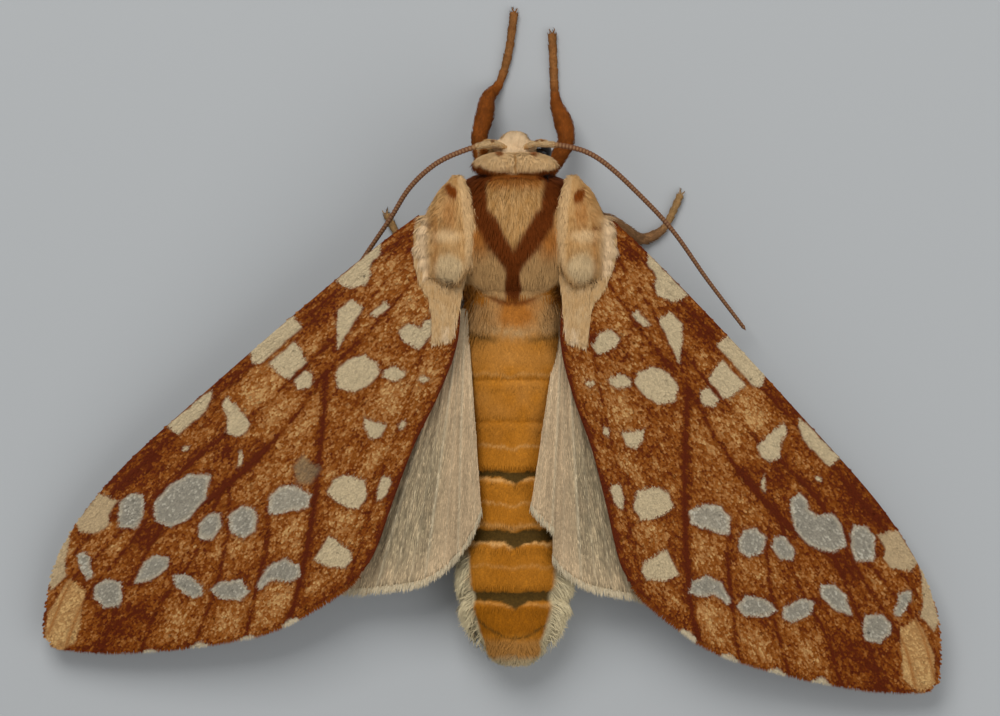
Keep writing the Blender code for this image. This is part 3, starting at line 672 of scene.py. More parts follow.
GROUND = ["dark_brown", "brown", "mid_brown", "tan", "pale_tan"]
GROUND_AT = [0.0, 0.27, 0.52, 0.8, 1.05]


def forewing_colours(side, s, t, chance):
    """The forewing's markings at each place, from dark brown to tan by the chance of its scale and by place."""
    ws = s + 0.08 * (noise(0.25, 1, s, t) - 0.5)
    wt = t + 0.08 * (noise(0.25, 2, s, t) - 0.5)
    pale = {"left": 0.39, "right": 0.35}[side] + 0.5 * blotches(s, t, PALE_GROUND) - 0.42 * blotches(s, t, DARK_GROUND)
    pale += {"left": 0.05, "right": 0.03}[side] * step(13, 11, s) + 0.64 * (chance - 0.5)
    pale += 0.42 * (noise(0.12, 3, s * 0.6, t) - 0.5) + 0.35 * (noise(0.4, 4, s * 0.7, t) - 0.5)
    veins = vein_distances(s, t)
    on_vein = near(veins.min(axis=0), 0.07)
    pale -= (0.34 + 0.16 * step(12, 14, s)) * on_vein
    pale -= 0.5 * near(veins[DARK_VEIN], 0.16) * (0.8 + 0.4 * chance)
    pale -= 0.4 * near(veins[DARK_VEIN - 1], 0.1) * (0.3 + 0.7 * step(9.5, 12.0, s))
    front, back = leading(s)[:, 0], trailing(s)[:, 0]
    pale -= 0.7 * near(t - back, 0.17) * (s < 15)
    pale -= 0.28 * near(t - back, 0.34) + 0.35 * near(front - t, 0.12) * (s < 18)
    pale = np.clip(pale, 0, GROUND_AT[-1])
    colour = columns_of(*[np.interp(pale, GROUND_AT, [LIN[name][c] for name in GROUND]) for c in range(3)])

    def mark(colour, distance, inner, rim_width=0.15, rim_share=0.75, speckle=0.2):
        rim = step(rim_width, 0.0, distance) * rim_share
        speckled = inner * (1 + speckle * (chance[:, None] - 0.5))
        return paint(colour, ("rim", rim * (0.6 + 0.4 * chance)), (speckled, step(0.04, -0.04, distance)))

    cream = nearest_of(ws, wt, CREAM_SPOTS + SIDE_CREAM_SPOTS[side])
    if side == "left":  # its clear spots lie a little nearer to the tip
        nudge = step(12.5, 14.5, s)
        low = step(-1.0, -1.6, t) * near(s - 15.8, 1.3)
        ws, wt = ws - nudge * (0.18 + 0.12 * low), wt + 0.12 * nudge * low
        smoky = polygon_distance(ws, wt, SMOKY_PATCH)
        colour = blend(colour, LIN["clear_spot"] * [0.78, 0.7, 0.52], step(0.12, -0.12, smoky) * 0.65)
    clear = nearest_of(ws, wt, CLEAR_SPOTS + SIDE_CLEAR_SPOTS[side])
    colour = mark(colour, cream, LIN["cream_spot"])
    edge = step(-0.17, -0.02, clear)  # a clear spot has pale scales along its edge
    pallor = np.clip(0.85 * edge + 0.3 * step(14, 12, s), 0, 1)
    glint = step(0.7, 1.0, chance) * (0.25 + 0.4 * noise(0.5, 6, s, t))
    inner = paint("clear_spot", ("clear_pale", pallor), ("glint", glint))
    colour = mark(colour, clear, inner, 0.18, speckle=0.3)
    colour = mark(colour, nearest_of(ws, wt, COSTAL_SPOTS), LIN["costal_cream"], 0.1, 0.4)
    streak = blend("streak_tan", "mid_brown", np.maximum(0.4 * step(0.55, 0.3, pale), 0.8 * on_vein))
    colour = mark(colour, polygon_distance(ws, wt, STREAK), streak, 0.1, 0.4)
    colour = mark(colour, polygon_distance(ws, wt, BASAL_STREAK), LIN["fur_pale"], 0.1, 0.5)
    return blend(colour, "fringe", step(0.32, 0.16, dot_distance(side, s, t)))


def dot_distance(side, s, t):
    """Distance from the middle of the nearest pale dot on the wing's margin."""
    return np.min([np.hypot(s - a, t - b) for a, b in MARGIN_DOTS[side]], axis=0)


FLAT_LENGTH, FLAT_BACK, FLAT_WIDTH = 23, 7, 10.2  # the part of the flat wing's plane that the map shows


def forewing_uv(s, t):
    return columns_of(in_map(np.clip(s / FLAT_LENGTH, 0, 1)), in_map(np.clip((t + FLAT_BACK) / FLAT_WIDTH, 0, 1)))


# ---------------------------------------------------------------- forewings: pieces


def rim_faces(rows, columns, flip):
    """Quads that close the edge between the two faces of a plate."""
    count = rows * columns
    loop = [(0, c) for c in range(columns)] + [(r, columns - 1) for r in range(1, rows)]
    loop += [(rows - 1, c) for c in range(columns - 2, -1, -1)] + [(r, 0) for r in range(rows - 2, 0, -1)]
    numbers = [r * columns + c for r, c in loop]
    if flip:
        numbers.reverse()
    return [(a, b, b + count, a + count) for a, b in zip(numbers, numbers[1:] + numbers[:1])]


def add_plate(name, top, bottom, shape, flip, material, slot, colours, under, uv):
    """A thin plate of two grids of points with a closed rim. Each of its two faces takes half of the map."""
    count = len(top)
    faces = grid_faces(*shape, flip=not flip) + grid_faces(*shape, count, flip=flip) + rim_faces(*shape, flip=flip)
    return add_piece(
        name, np.concatenate([top, bottom]), faces, material, slot, np.concatenate([colours, under]),
        np.concatenate([uv * [1, 0.5] + [0, 0.5], uv * [1, 0.5]]),
    )


def upper_frame(point_at, a, b, step_a, step_b):
    """Normals on a wing's upper face, and the directions in which a and b grow, from its point_at(a, b)."""
    along = unit(point_at(a + step_a, b) - point_at(a - step_a, b))
    across = unit(point_at(a, b + step_b) - point_at(a, b - step_b))
    normals = unit(np.cross(along, across))
    return normals * np.sign(normals[:, 2:]), along, across


def forewing_frame(side, s, t):
    return upper_frame(lambda a, b: wing_point(side, a, b), s, t, 0.02, 0.02)


MEMBRANE_ROWS, MEMBRANE_COLUMNS = 200, 80


def make_forewing(side):
    """The thin membrane with its raised veins and thicker front edge, marked on both faces."""
    s = FOREWING_ROOT + (FOREWING_APEX - 0.2 - FOREWING_ROOT) * np.sin(np.linspace(0, math.pi / 2, MEMBRANE_ROWS))
    front, back = wing_edges(s)
    t = (back[:, None] + (front - back)[:, None] * np.linspace(0, 1, MEMBRANE_COLUMNS)).ravel()
    s = np.repeat(s, MEMBRANE_COLUMNS)
    half, relief = membrane_form(s, t)
    colours = forewing_colours(side, s, t, np.random.default_rng(11).random(len(s)))
    wing = add_plate(
        f"forewing_{side}_membrane", wing_point(side, s, t, half + relief),
        wing_point(side, s, t, -half - relief * 0.7), (MEMBRANE_ROWS, MEMBRANE_COLUMNS), SIDES[side] > 0,
        "wing_membrane", "forewing_scales", colours, blend(colours, "tan", 0.35), forewing_uv(s, t),
    )
    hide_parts(f"forewing_{side}")


SCALE_PITCH = (0.088, 0.072)


def forewing_scales(side):
    rng = np.random.default_rng(21 if side == "left" else 22)
    s, t = np.meshgrid(
        np.arange(FOREWING_ROOT, FOREWING_APEX, SCALE_PITCH[0]), np.arange(-6.8, 3.0, SCALE_PITCH[1]), indexing="ij"
    )
    t = t + (np.arange(s.shape[0]) % 2)[:, None] * SCALE_PITCH[1] / 2
    s, t = (s + rng.uniform(-0.03, 0.03, s.shape)).ravel(), (t + rng.uniform(-0.025, 0.025, t.shape)).ravel()
    front, back = wing_edges(s)
    keep = (t < front - 0.02) & (t > back + 0.02) & (s < FOREWING_APEX - 0.25)
    s, t = s[keep], t[keep]
    normals, along, across = forewing_frame(side, s, t)
    roots = wing_point(side, s, t, sum(membrane_form(s, t)))
    yaw = rng.normal(0, 0.14, len(s)) - 0.18 * step(0, -5, t)
    lies = unit(along * np.cos(yaw)[:, None] + across * np.sin(yaw)[:, None])
    chance = rng.random(len(s))
    corners = []  # the colours at a scale's two outer corners and at its tip, the part that the next ones leave bare
    for ahead, aside in ((0.11, -0.04), (0.11, 0.04), (0.15, 0)):
        shown_s = s + ahead * np.cos(yaw) - aside * np.sin(yaw)
        shown_t = t + ahead * np.sin(yaw) + aside * np.cos(yaw)
        corners.append(forewing_colours(side, shown_s, shown_t, chance))
    if SIDES[side] < 0:
        corners[0], corners[1] = corners[1], corners[0]
    add_scales(
        f"forewing_{side}_scales", "wing_scales", "forewing_scales", rng, roots, normals, lies, (0.15, 0.19),
        (0.075, 0.1), (0.01, 0.03), np.stack(corners, axis=1), forewing_uv(s, t),
    )


def forewing_fringe(side):
    """Rows of narrow scales past the membrane's outer and inner margin."""
    rng = np.random.default_rng(41)
    curve, length = smooth_route([(s, t, 0) for s, t in TRAILING_EDGE if s >= 2.0])
    count = int(length / 0.028)
    roots, outwards = [], []
    for layer in range(3):
        place = curve((np.arange(count) + rng.random(count)) / count)[:, :2]
        ahead = curve(np.clip((np.arange(count) + 1.0) / count + 0.002, 0, 1))[:, :2]
        tangent = unit(ahead - place)
        outwards.append(columns_of(tangent[:, 1], -tangent[:, 0]))
        roots.append(place - outwards[-1] * (FRINGE + 0.04 + 0.05 * layer))
    (s, t), outward = np.concatenate(roots).T, np.concatenate(outwards)
    normals, along, across = forewing_frame(side, s, t)
    lies = unit(along * outward[:, :1] + across * outward[:, 1:] + along * rng.normal(0.12, 0.1, len(s))[:, None])
    colours = forewing_colours(side, s, t, rng.random(len(s)))
    colours = paint(colours, ("brown", 0.6), ("fringe", step(0.5, 0.4, dot_distance(side, s, t))))
    length = np.where(s < 12, 0.2, 0.28) * rng.uniform(0.85, 1.1, len(s))
    add_hairs(
        f"forewing_{side}_fringe", "wing_scales", "forewing_scales", rng, wing_point(side, s, t), normals, lies, length,
        (0.03, 0.05), (-0.02, 0.03), colours, forewing_uv(s, t), bright=1.1,
    )


def basal_hair(side):
    """Long pale hair that lies back over the cream streak at the wing's root."""
    rng = np.random.default_rng(51)
    s, t = rng.uniform(0.9, 4.0, 8500), rng.uniform(-2.5, 1.9, 8500)
    keep = polygon_distance(s, t, BASAL_STREAK) < -0.02
    s, t = s[keep], t[keep]
    turn = math.radians(SPREAD_DEG[side])
    normals, along, across = forewing_frame(side, s, t)
    lean = 0.3 * (noise(0.4, 52, s, t) - 0.5) + rng.normal(0, 0.06, len(s))
    lies = unit(along * (math.sin(turn) + lean)[:, None] - across * math.cos(turn))
    length = rng.uniform(0.4, 0.7, len(s))
    tip_s, tip_t = s + length * math.sin(turn), t - length * math.cos(turn)
    length *= np.where(polygon_distance(tip_s, tip_t, BASAL_STREAK) < 0.08, 1, 0.4)
    gleam = step(0.35, 0.65, noise(0.3, 53, s, t)) * step(-1.2, -2.0, t)
    colours = paint("fur_cream", ("fur_pale", noise(0.25, 54, s * 3, t)), ("vertex", gleam))
    add_hairs(
        f"forewing_{side}_basal_hair", "fur", "cream_fur", rng, wing_point(side, s, t, 0.06), normals, lies, length,
        (0.022, 0.036), (0.02, 0.07), colours, forewing_uv(s, t), bright=1.25,
    )


for side in SIDES:
    make_forewing(side)
    forewing_scales(side)
    forewing_fringe(side)
    basal_hair(side)

# ---------------------------------------------------------------- hindwings

fan_radius = smooth_through(FAN_RADIUS)
FAN_FIRST, FAN_LAST = FAN_RADIUS[0][0], FAN_RADIUS[-1][0]
HIND_FRINGE = 0.38
HIND_VEINS_DEG = [1.5, 7.6, 16, 23.5, 31, 39, 47]
HIND_FOLDS_DEG = [-2.4, 4.2, 10.3, 13.2, 19.6, 27, 35, 43]
NOTCH_FROM, NOTCH_TO, NOTCH_RADIUS, NOTCH_SLOPE = -5.2, 1.9, 8.9, 0.14


def drape(x, y):
    return DRAPE_RISE * step(DRAPE_STARTS, DRAPE_FULL, y) * np.exp(-((np.abs(x) / DRAPE_WIDTH) ** 2.5))


def pleats(degrees, share):
    """Long folds that run from the wing's root to its margin, higher along the veins."""
    height = sum(near(degrees - centre, 0.9) for centre in HIND_VEINS_DEG)
    soft = noise(2.3, 75, degrees, share * 2) + 0.5 * noise(0.9, 76, degrees, share * 4)
    return (0.05 * height + 0.09 * soft) * step(0.05, 0.35, share)


def hindwing_point(side, degrees, share, rise=0.0):
    """Points on the hindwing: an angle about its root, and a share of the way out to its margin."""
    degrees, share = np.broadcast_arrays(np.asarray(degrees, float), np.asarray(share, float))
    reach = FAN_ROOT + (fan_radius(degrees.ravel())[:, 0].reshape(degrees.shape) - FAN_ROOT) * share
    turn = np.radians(degrees - HIND_TURN_DEG[side])
    x = FAN_CENTRE[0] + reach * np.sin(turn)
    y = FAN_CENTRE[1] + reach * np.cos(turn)
    z = wing_plane(x, y) - UNDER_FOREWING + drape(x, y) + pleats(degrees, share) + rise
    return columns_of(SIDES[side] * x, y, z)


def hindwing_colours(degrees, share, seed):
    """Pinkish cream near the body, and greyer and darker outwards as painted shade where the forewing lies over it,
    with long pale folds and a glitter of single scales.
    """
    rng = np.random.default_rng(seed)
    folds = np.min([np.abs(degrees - centre) * share for centre in HIND_VEINS_DEG], axis=0)
    lines = np.min([np.abs(degrees - centre) * share for centre in HIND_FOLDS_DEG], axis=0)
    # painted shade: greyer and darker towards the forewing's edge, less so at the margin and none near the root
    grey = step(3.5, 9.5, degrees) * (0.95 - 0.35 * step(0.75, 0.95, share))
    grey = grey + 0.2 * (noise(5, 71, degrees, share * 40) - 0.5)
    grey = np.clip(grey + 0.45 * (noise(0.9, 72, degrees, share * 60) - 0.5), 0, 1) * step(0.2, 0.6, share)
    colour = blend("hind_pink", "hind_shaded_grey", grey)
    patchy = 0.76 + 0.26 * noise(0.7, 73, degrees, share * 3) + 0.22 * noise(1.0, 74, degrees * 0.35, share * 7)
    worn = noise(0.25, 77, degrees * 0.1, share) * 0.6 + 0.4
    colour = paint(
        colour * patchy[:, None], ("fringe", 0.9 * near(folds, 0.22) * worn),
        ("fringe", 0.35 * near(lines, 0.14) * worn),
    )
    return colour * (0.94 + (0.12 + 0.8 * grey) * (rng.random(len(degrees)) ** 2 - 0.33))[:, None]


def hindwing_uv(degrees, share):
    across = in_map((degrees - FAN_FIRST) / (FAN_LAST - FAN_FIRST))
    return columns_of(np.clip(across, 0, 1), in_map(np.clip(share, 0, 1)))


def hind_margin_share(side, degrees):
    """How far out the membrane goes, before the fringe. The right wing's inner corner is folded away."""
    reach = fan_radius(degrees)[:, 0]
    margin = reach - HIND_FRINGE
    if side == "right":
        folded = NOTCH_RADIUS + NOTCH_SLOPE * (degrees - NOTCH_FROM) - HIND_FRINGE
        margin = np.where(degrees < NOTCH_TO, np.minimum(margin, folded), margin)
    return (margin - FAN_ROOT) / (reach - FAN_ROOT)


HIND_ROWS, HIND_COLUMNS, HIND_HALF = 260, 50, 0.03


def make_hindwing(side):
    degrees = np.linspace(FAN_FIRST, FAN_LAST, HIND_ROWS)
    share = (hind_margin_share(side, degrees)[:, None] * np.linspace(0, 1, HIND_COLUMNS)).ravel()
    degrees = np.repeat(degrees, HIND_COLUMNS)
    colours = hindwing_colours(degrees, share, 61)
    wing = add_plate(
        f"hindwing_{side}_membrane", hindwing_point(side, degrees, share, HIND_HALF),
        hindwing_point(side, degrees, share, -HIND_HALF), (HIND_ROWS, HIND_COLUMNS), SIDES[side] < 0,
        "hindwing_membrane", "hindwing_scales", colours, colours, hindwing_uv(degrees, share),
    )
    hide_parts(f"hindwing_{side}")


def hindwing_frame(side, degrees, share):
    """Normals, and the directions outwards and across, on the hindwing."""
    return upper_frame(lambda a, b: hindwing_point(side, b, a), share, degrees, 0.01, 0.2)


def hindwing_coat(side):
    """Fine hair-like scales over the membrane, all pointing to the margin, and a fringe along the margin."""
    rng = np.random.default_rng(81)
    count = 7700
    share = np.sqrt(rng.uniform(0.02, 1, count))
    degrees = FAN_FIRST + (FAN_LAST - FAN_FIRST) * rng.random(count)
    share = share * hind_margin_share(side, degrees)
    normals, out, across = hindwing_frame(side, degrees, share)
    lies = unit(out + across * rng.normal(0, 0.05, count)[:, None])
    add_hairs(
        f"hindwing_{side}_hair", "hindwing_scales", "hindwing_scales", rng, hindwing_point(side, degrees, share, 0.035),
        normals, lies, (0.2, 0.4), (0.022, 0.036), (0.0, 0.015), hindwing_colours(degrees, share, 82),
        hindwing_uv(degrees, share), bright=1.4,
    )
    count = 2600
    degrees = np.sort(FAN_FIRST + (FAN_LAST - FAN_FIRST) * rng.random(count))
    share = hind_margin_share(side, degrees) - rng.uniform(0, 0.012, count)
    normals, out, across = hindwing_frame(side, degrees, share)
    lies = unit(out + across * rng.normal(0, 0.12, count)[:, None])
    colours = plain("fringe", count) * rng.uniform(0.85, 1.12, count)[:, None]
    add_hairs(
        f"hindwing_{side}_fringe", "hindwing_scales", "hindwing_scales", rng, hindwing_point(side, degrees, share),
        normals, lies, (0.25, 0.46), (0.03, 0.05), (-0.04, 0.06), colours, hindwing_uv(degrees, share), bright=1.15,
    )


for side in SIDES:
    make_hindwing(side)
    hindwing_coat(side)

# ---------------------------------------------------------------- skin: one closed surface under the whole coat

VOXEL = 0.085
COAT_DEPTH = {"thorax": 0.22, "abdomen": 0.1, "head": 0.14, "collar": 0.05, "tegula": 0.13}
SEGMENT_GAPS = [(2.35, 2.55), (8.95, 9.2), (11.2, 11.65), (13.55, 13.95)]  # where the dark skin between segments shows
FINE_GAPS, FINE_GAP_REACH = [5.47, 7.07], 0.12
thorax_section, abdomen_section = smooth_through(THORAX), smooth_through(ABDOMEN)


def sections(table, inset, count):
    """Even sections (y, half width, bottom, widest level, top), smaller by the inset."""
    curve = smooth_through(table)
    y = np.linspace(table[0][0], table[-1][0], count)
    half, bottom, widest, top = curve(y).T
    shrink = np.minimum(inset, half * 0.4)
    ends = np.clip((y - y.mean()) * (1 - 2 * inset / (y[-1] - y[0])) + y.mean(), y[0], y[-1])
    return columns_of(ends, half - shrink, bottom + shrink, widest, top - shrink)


def loft_mesh(rows, sides=48):
    """Points and faces of a closed body through sections."""
    angle = round_angles(sides)
    points = []
    for y, half, bottom, widest, top in rows:
        height = np.where(np.cos(angle) > 0, top - widest, widest - bottom)
        points.append(columns_of(half * np.sin(angle), y, widest + height * np.cos(angle)))
    return np.concatenate(points), tube_faces(len(rows), sides)


def groove(y):
    """How deep the folds between the abdomen's segments go."""
    depth = np.zeros(np.shape(y))
    for first, last in SEGMENT_GAPS[1:]:
        middle, reach = (first + last) / 2, (last - first) / 2 + 0.1
        depth += 0.16 * np.exp(-(((y - middle) / reach) ** 4))
    for middle in FINE_GAPS:
        depth += 0.06 * near(y - middle, FINE_GAP_REACH)
    return depth


def turn_matrix(degrees, axis):
    cosine, sine = math.cos(math.radians(degrees)), math.sin(math.radians(degrees))
    one, other = (axis + 1) % 3, (axis + 2) % 3
    matrix = np.eye(3)
    matrix[[one, other], [one, other]] = cosine
    matrix[one, other], matrix[other, one] = -sine, sine
    return matrix


def ball_matrix(spec, inset, sign):
    """Turn and half sizes of an ellipsoid as one matrix, and its centre, mirrored where the sign is -1."""
    centre, half, turn = (*spec, (0, 0, 0))[:3]
    turned = turn_matrix(turn[1] * sign, 1) @ turn_matrix(turn[0], 0) @ turn_matrix(turn[2] * sign, 2)
    return turned @ np.diag(np.array(half) - inset), np.array([centre[0] * sign, centre[1], centre[2]], float)


def ball_mesh(spec, inset, sign=1, rings=32, sides=48):
    matrix, centre = ball_matrix(spec, inset, sign)
    polar = np.linspace(0.02, math.pi - 0.02, rings)[:, None]
    angle = round_angles(sides)
    points = columns_of(np.sin(polar) * np.cos(angle), np.sin(polar) * np.sin(angle), np.cos(polar)).reshape(-1, 3)
    return points @ matrix.T + centre, tube_faces(rings, sides, flip=True)


tegula_table = smooth_through(TEGULA)
# How much narrower the lobe's skin is than its solid, most at the front, where its hair fans out: (y, width)
TEGULA_TAPER = [(-2.2, 0.22), (-1.8, 0.2), (-1.2, 0.26), (-0.8, 0.32), (-0.4, 0.34), (0.2, 0.28), (1.4, 0.15)]


def tegula_section(y):
    section = tegula_table(y)
    taper = np.interp(y, *zip(*TEGULA_TAPER))
    section[:, 1] -= taper * np.minimum(1, (section[:, 1] - section[:, 0]) / 1.2)
    return section


TEGULA_TUFTS = [(-0.55, 0.18), (-0.2, 0.24), (0.12, 0.2), (0.5, 0.26), (0.9, 0.24), (1.3, 0.22)]  # (y, radius)
TEGULA_INSET_MOST, TEGULA_THIN = 0.2, 0.1  # how much narrower the lobe's skin may get, and how thin


def tegula_mesh(inset, sign, rings=60, sides=40):
    y = np.linspace(TEGULA[0][0] + inset, TEGULA[-1][0] - inset, rings)
    inner, outer, middle, thick = tegula_section(y).T
    angle = round_angles(sides)
    across = np.outer((outer - inner) / 2 - min(inset, TEGULA_INSET_MOST), np.cos(angle))
    lift = np.outer(np.maximum(thick - inset, TEGULA_THIN), np.sin(angle))
    x = ((inner + outer) / 2)[:, None] + across + lift * math.sin(TEGULA_TILT)
    z = middle[:, None] - across * math.tan(TEGULA_TILT) + lift * math.cos(TEGULA_TILT)
    return columns_of(x * sign, y[:, None], z).reshape(-1, 3), tube_faces(rings, sides, flip=sign < 0)


def tegula_distance(points, inset):
    y = np.clip(points[:, 1], TEGULA[0][0], TEGULA[-1][0])
    inner, outer, middle, thick = tegula_section(y).T
    dx, dz = np.abs(points[:, 0]) - (inner + outer) / 2, points[:, 2] - middle
    cosine = math.cos(TEGULA_TILT)
    across = (dx * cosine - dz * math.sin(TEGULA_TILT)) * cosine
    lift = (dz + dx * math.tan(TEGULA_TILT)) * cosine
    half = (outer - inner) / 2 - min(inset, TEGULA_INSET_MOST)
    size = np.hypot(across / half, lift / np.maximum(thick - inset, TEGULA_THIN))
    radius = np.hypot(across, lift)
    beyond = np.abs(points[:, 1] - y)
    return (size - 1) * radius / np.maximum(size, 1e-6) + beyond


def tube_mesh(route, radius_at, steps, sides):
    """A closed tube along a smooth route. radius_at gives its radius from the share of the way along."""
    curve, _ = smooth_route(route)
    share = np.linspace(0, 1, steps)
    middle = curve(share)[:, :3]
    tangent = unit(np.gradient(middle, axis=0))
    side = unit(np.cross(tangent, [0, 0, 1.0]))
    up = np.cross(side, tangent)
    angle = round_angles(sides)[:, None]
    ring = side[:, None, :] * np.cos(angle) + up[:, None, :] * np.sin(angle)
    points = (middle[:, None, :] + ring * radius_at(share)[:, None, None]).reshape(-1, 3)
    return points, tube_faces(steps, sides, flip=True)


def joined(meshes):
    points, faces, start = [], [], 0
    for some_points, some_faces in meshes:
        points.append(some_points)
        faces += [[number + start for number in face] for face in some_faces]
        start += len(some_points)
    return np.concatenate(points), faces


def scratch_object(mesh_parts):
    """A helper object in millimetres, which is deleted after use."""
    return new_object("scratch", new_mesh("scratch", *mesh_parts))


def shape_of(thing):
    """Points and faces of an object with its modifiers applied."""
    mesh = thing.evaluated_get(bpy.context.evaluated_depsgraph_get()).to_mesh()
    points = np.empty(len(mesh.vertices) * 3)
    mesh.vertices.foreach_get("co", points)
    faces = [list(polygon.vertices) for polygon in mesh.polygons]
    return points.reshape(-1, 3), faces


def discard(*things):
    for thing in things:
        mesh = thing.data
        bpy.data.objects.remove(thing)
        bpy.data.meshes.remove(mesh)


SOCKET = ((0.8, -3.16, 2.95), (0.38, 0.34, 0.4))  # behind each eye
NECK = [(-3.1, 0.6, 2.4, 3.0, 3.6), (-2.2, 0.9, 2.0, 3.0, 3.9)]
PALP_RADIUS = 0.13
FRONS_DEPTH, BROW_DEPTH = 0.12, 0.08


def body_parts():
    """The closed forms that make up the trunk, head and shoulder lobes under the hair."""
    abdomen = sections(ABDOMEN, COAT_DEPTH["abdomen"], 260)
    abdomen[0, 0], abdomen[:, 1] = 2.1, abdomen[:, 1] - groove(abdomen[:, 0]) * 0.7
    abdomen[:, 4] -= groove(abdomen[:, 0])
    parts = [loft_mesh(sections(THORAX, COAT_DEPTH["thorax"], 40)), loft_mesh(abdomen)]
    parts += [ball_mesh(HEAD, COAT_DEPTH["head"]), ball_mesh(FRONS, FRONS_DEPTH), ball_mesh(BROW, BROW_DEPTH)]
    for sign in (1, -1):
        parts.append(tegula_mesh(COAT_DEPTH["tegula"], sign))
        for y, radius in TEGULA_TUFTS:
            _, outer, middle, _ = tegula_section(np.array([y]))[0]
            parts.append(ball_mesh(((outer - 0.1, y, middle - 0.36), (radius, radius * 1.1, 0.3)), 0, sign))
        palp = [(x * sign, y, z, r) for x, y, z, r in PALP]
        parts.append(tube_mesh(palp, lambda share: np.full(len(share), PALP_RADIUS), 24, 16))
        parts.append(ball_mesh(SOCKET, 0, sign))
    parts += [ball_mesh(spec, COAT_DEPTH["collar"], sign) for spec, sign in COLLAR]
    return parts + [loft_mesh(NECK)]


LIMB_SHARE = 0.74  # a limb's skin, as a share of the radius that it has with its hair
FOREFOOT_RADIUS, FOOT_RADIUS = 0.14, 0.12
JOINTS = 5  # in a foot


def foot_share(route):
    """How far along the leg its foot starts, from 0 to 1."""
    steps = np.linalg.norm(np.diff(np.array(route)[:, :3], axis=0), axis=1)
    return steps[:-2].sum() / steps.sum()


def joint_share(foot_starts, along):
    """How far along its joint of the foot each place is, from 0 to 1."""
    return (along - foot_starts) / (1 - foot_starts) * JOINTS % 1


def limb_radius(route, foot_radius):
    """The skin's radius along a leg: full at the thigh, slim and jointed along the foot."""
    curve, _ = smooth_route(route)
    foot_starts = foot_share(route)

    def at(share):
        upper = LIMB_SHARE * curve(share)[:, 3]
        foot = foot_radius + 0.03 * joint_share(foot_starts, share)
        return upper + (foot - upper) * step(foot_starts - 0.08, foot_starts + 0.02, share)

    return at


def lowered(route):
    """The foot's middle line lower than its solid's, so that the slim foot stands on the floor."""
    return [(x, y, z if r > 0.27 or z > 0.3 else 0.165, r) for x, y, z, r in route]


def claws(route):
    """Two small hooks at the end of a foot."""
    (x0, y0, _, _), (x1, y1, _, _) = route[-2:]
    ahead = unit(np.array([x1 - x0, y1 - y0, 0.0]))
    aside = np.array([ahead[1], -ahead[0], 0.0])
    made = []
    for sign in (1, -1):
        start = np.array([x1, y1, 0.16]) - ahead * 0.02
        middle = start + ahead * 0.13 + aside * 0.08 * sign + [0, 0, 0.02]
        tip = middle + ahead * 0.09 + aside * 0.02 * sign - [0, 0, 0.12]
        made.append(tube_mesh([(*start, 0), (*middle, 0), (*tip, 0)], lambda share: 0.034 - 0.026 * share, 9, 8))
    return made


def make_skin_shape():
    trunk = scratch_object(joined(body_parts()))
    remesh = trunk.modifiers.new("one_surface", "REMESH")
    remesh.mode = "VOXEL"
    remesh.voxel_size = VOXEL
    soften = trunk.modifiers.new("soften", "SMOOTH")
    soften.factor = 0.5
    soften.iterations = 3
    body = scratch_object(shape_of(trunk))
    limbs = []
    for name, route in LEGS.items():
        route = lowered(route)
        radius_at = limb_radius(route, FOREFOOT_RADIUS if name.startswith("fore") else FOOT_RADIUS)
        for part in (tube_mesh(route, radius_at, 130, 20), *claws(route)):
            limbs.append(scratch_object(part))
            union = body.modifiers.new("union", "BOOLEAN")
            union.operation = "UNION"
            union.solver = "MANIFOLD"
            union.object = limbs[-1]
    points, faces = shape_of(body)
    discard(trunk, body, *limbs)
    return points, faces


# ---------------------------------------------------------------- skin: which part each place belongs to

TRUNK_FORMS = ["thorax", "abdomen", "head", "frons", "collar", "tegula", "palp"]
REGIONS = TRUNK_FORMS + list(LEGS)
LEG_LINES = {name: smooth_route(lowered(route))[0](np.linspace(0, 1, 200)) for name, route in LEGS.items()}


def ball_distance(points, spec, inset, sign=1):
    matrix, centre = ball_matrix(spec, inset, sign)
    local = (points - centre) @ np.linalg.inv(matrix).T
    size = np.maximum(np.linalg.norm(local, axis=1), 1e-6)
    return (size - 1) * np.linalg.norm(points - centre, axis=1) / size


def loft_distance(points, curve, table, inset):
    y = np.clip(points[:, 1], table[0][0], table[-1][0])
    half, bottom, widest, top = curve(y).T
    rise = points[:, 2] - widest
    height = np.where(rise > 0, top - widest, widest - bottom) - inset
    size = np.sqrt((points[:, 0] / np.maximum(half - inset, 0.1)) ** 2 + (rise / np.maximum(height, 0.1)) ** 2)
    radius = np.hypot(points[:, 0], rise)
    beyond = np.maximum(table[0][0] - points[:, 1], points[:, 1] - table[-1][0])
    return np.maximum((size - 1) * radius / np.maximum(size, 1e-6), beyond)


def line_place(points, line):
    """For each point, the number of the nearest place on a line, and the distance to it."""
    tree = kdtree.KDTree(len(line))
    for number, place in enumerate(line):
        tree.insert(place[:3], number)
    tree.balance()
    found = [tree.find(point) for point in points]
    return np.array([f[1] for f in found]), np.array([f[2] for f in found])


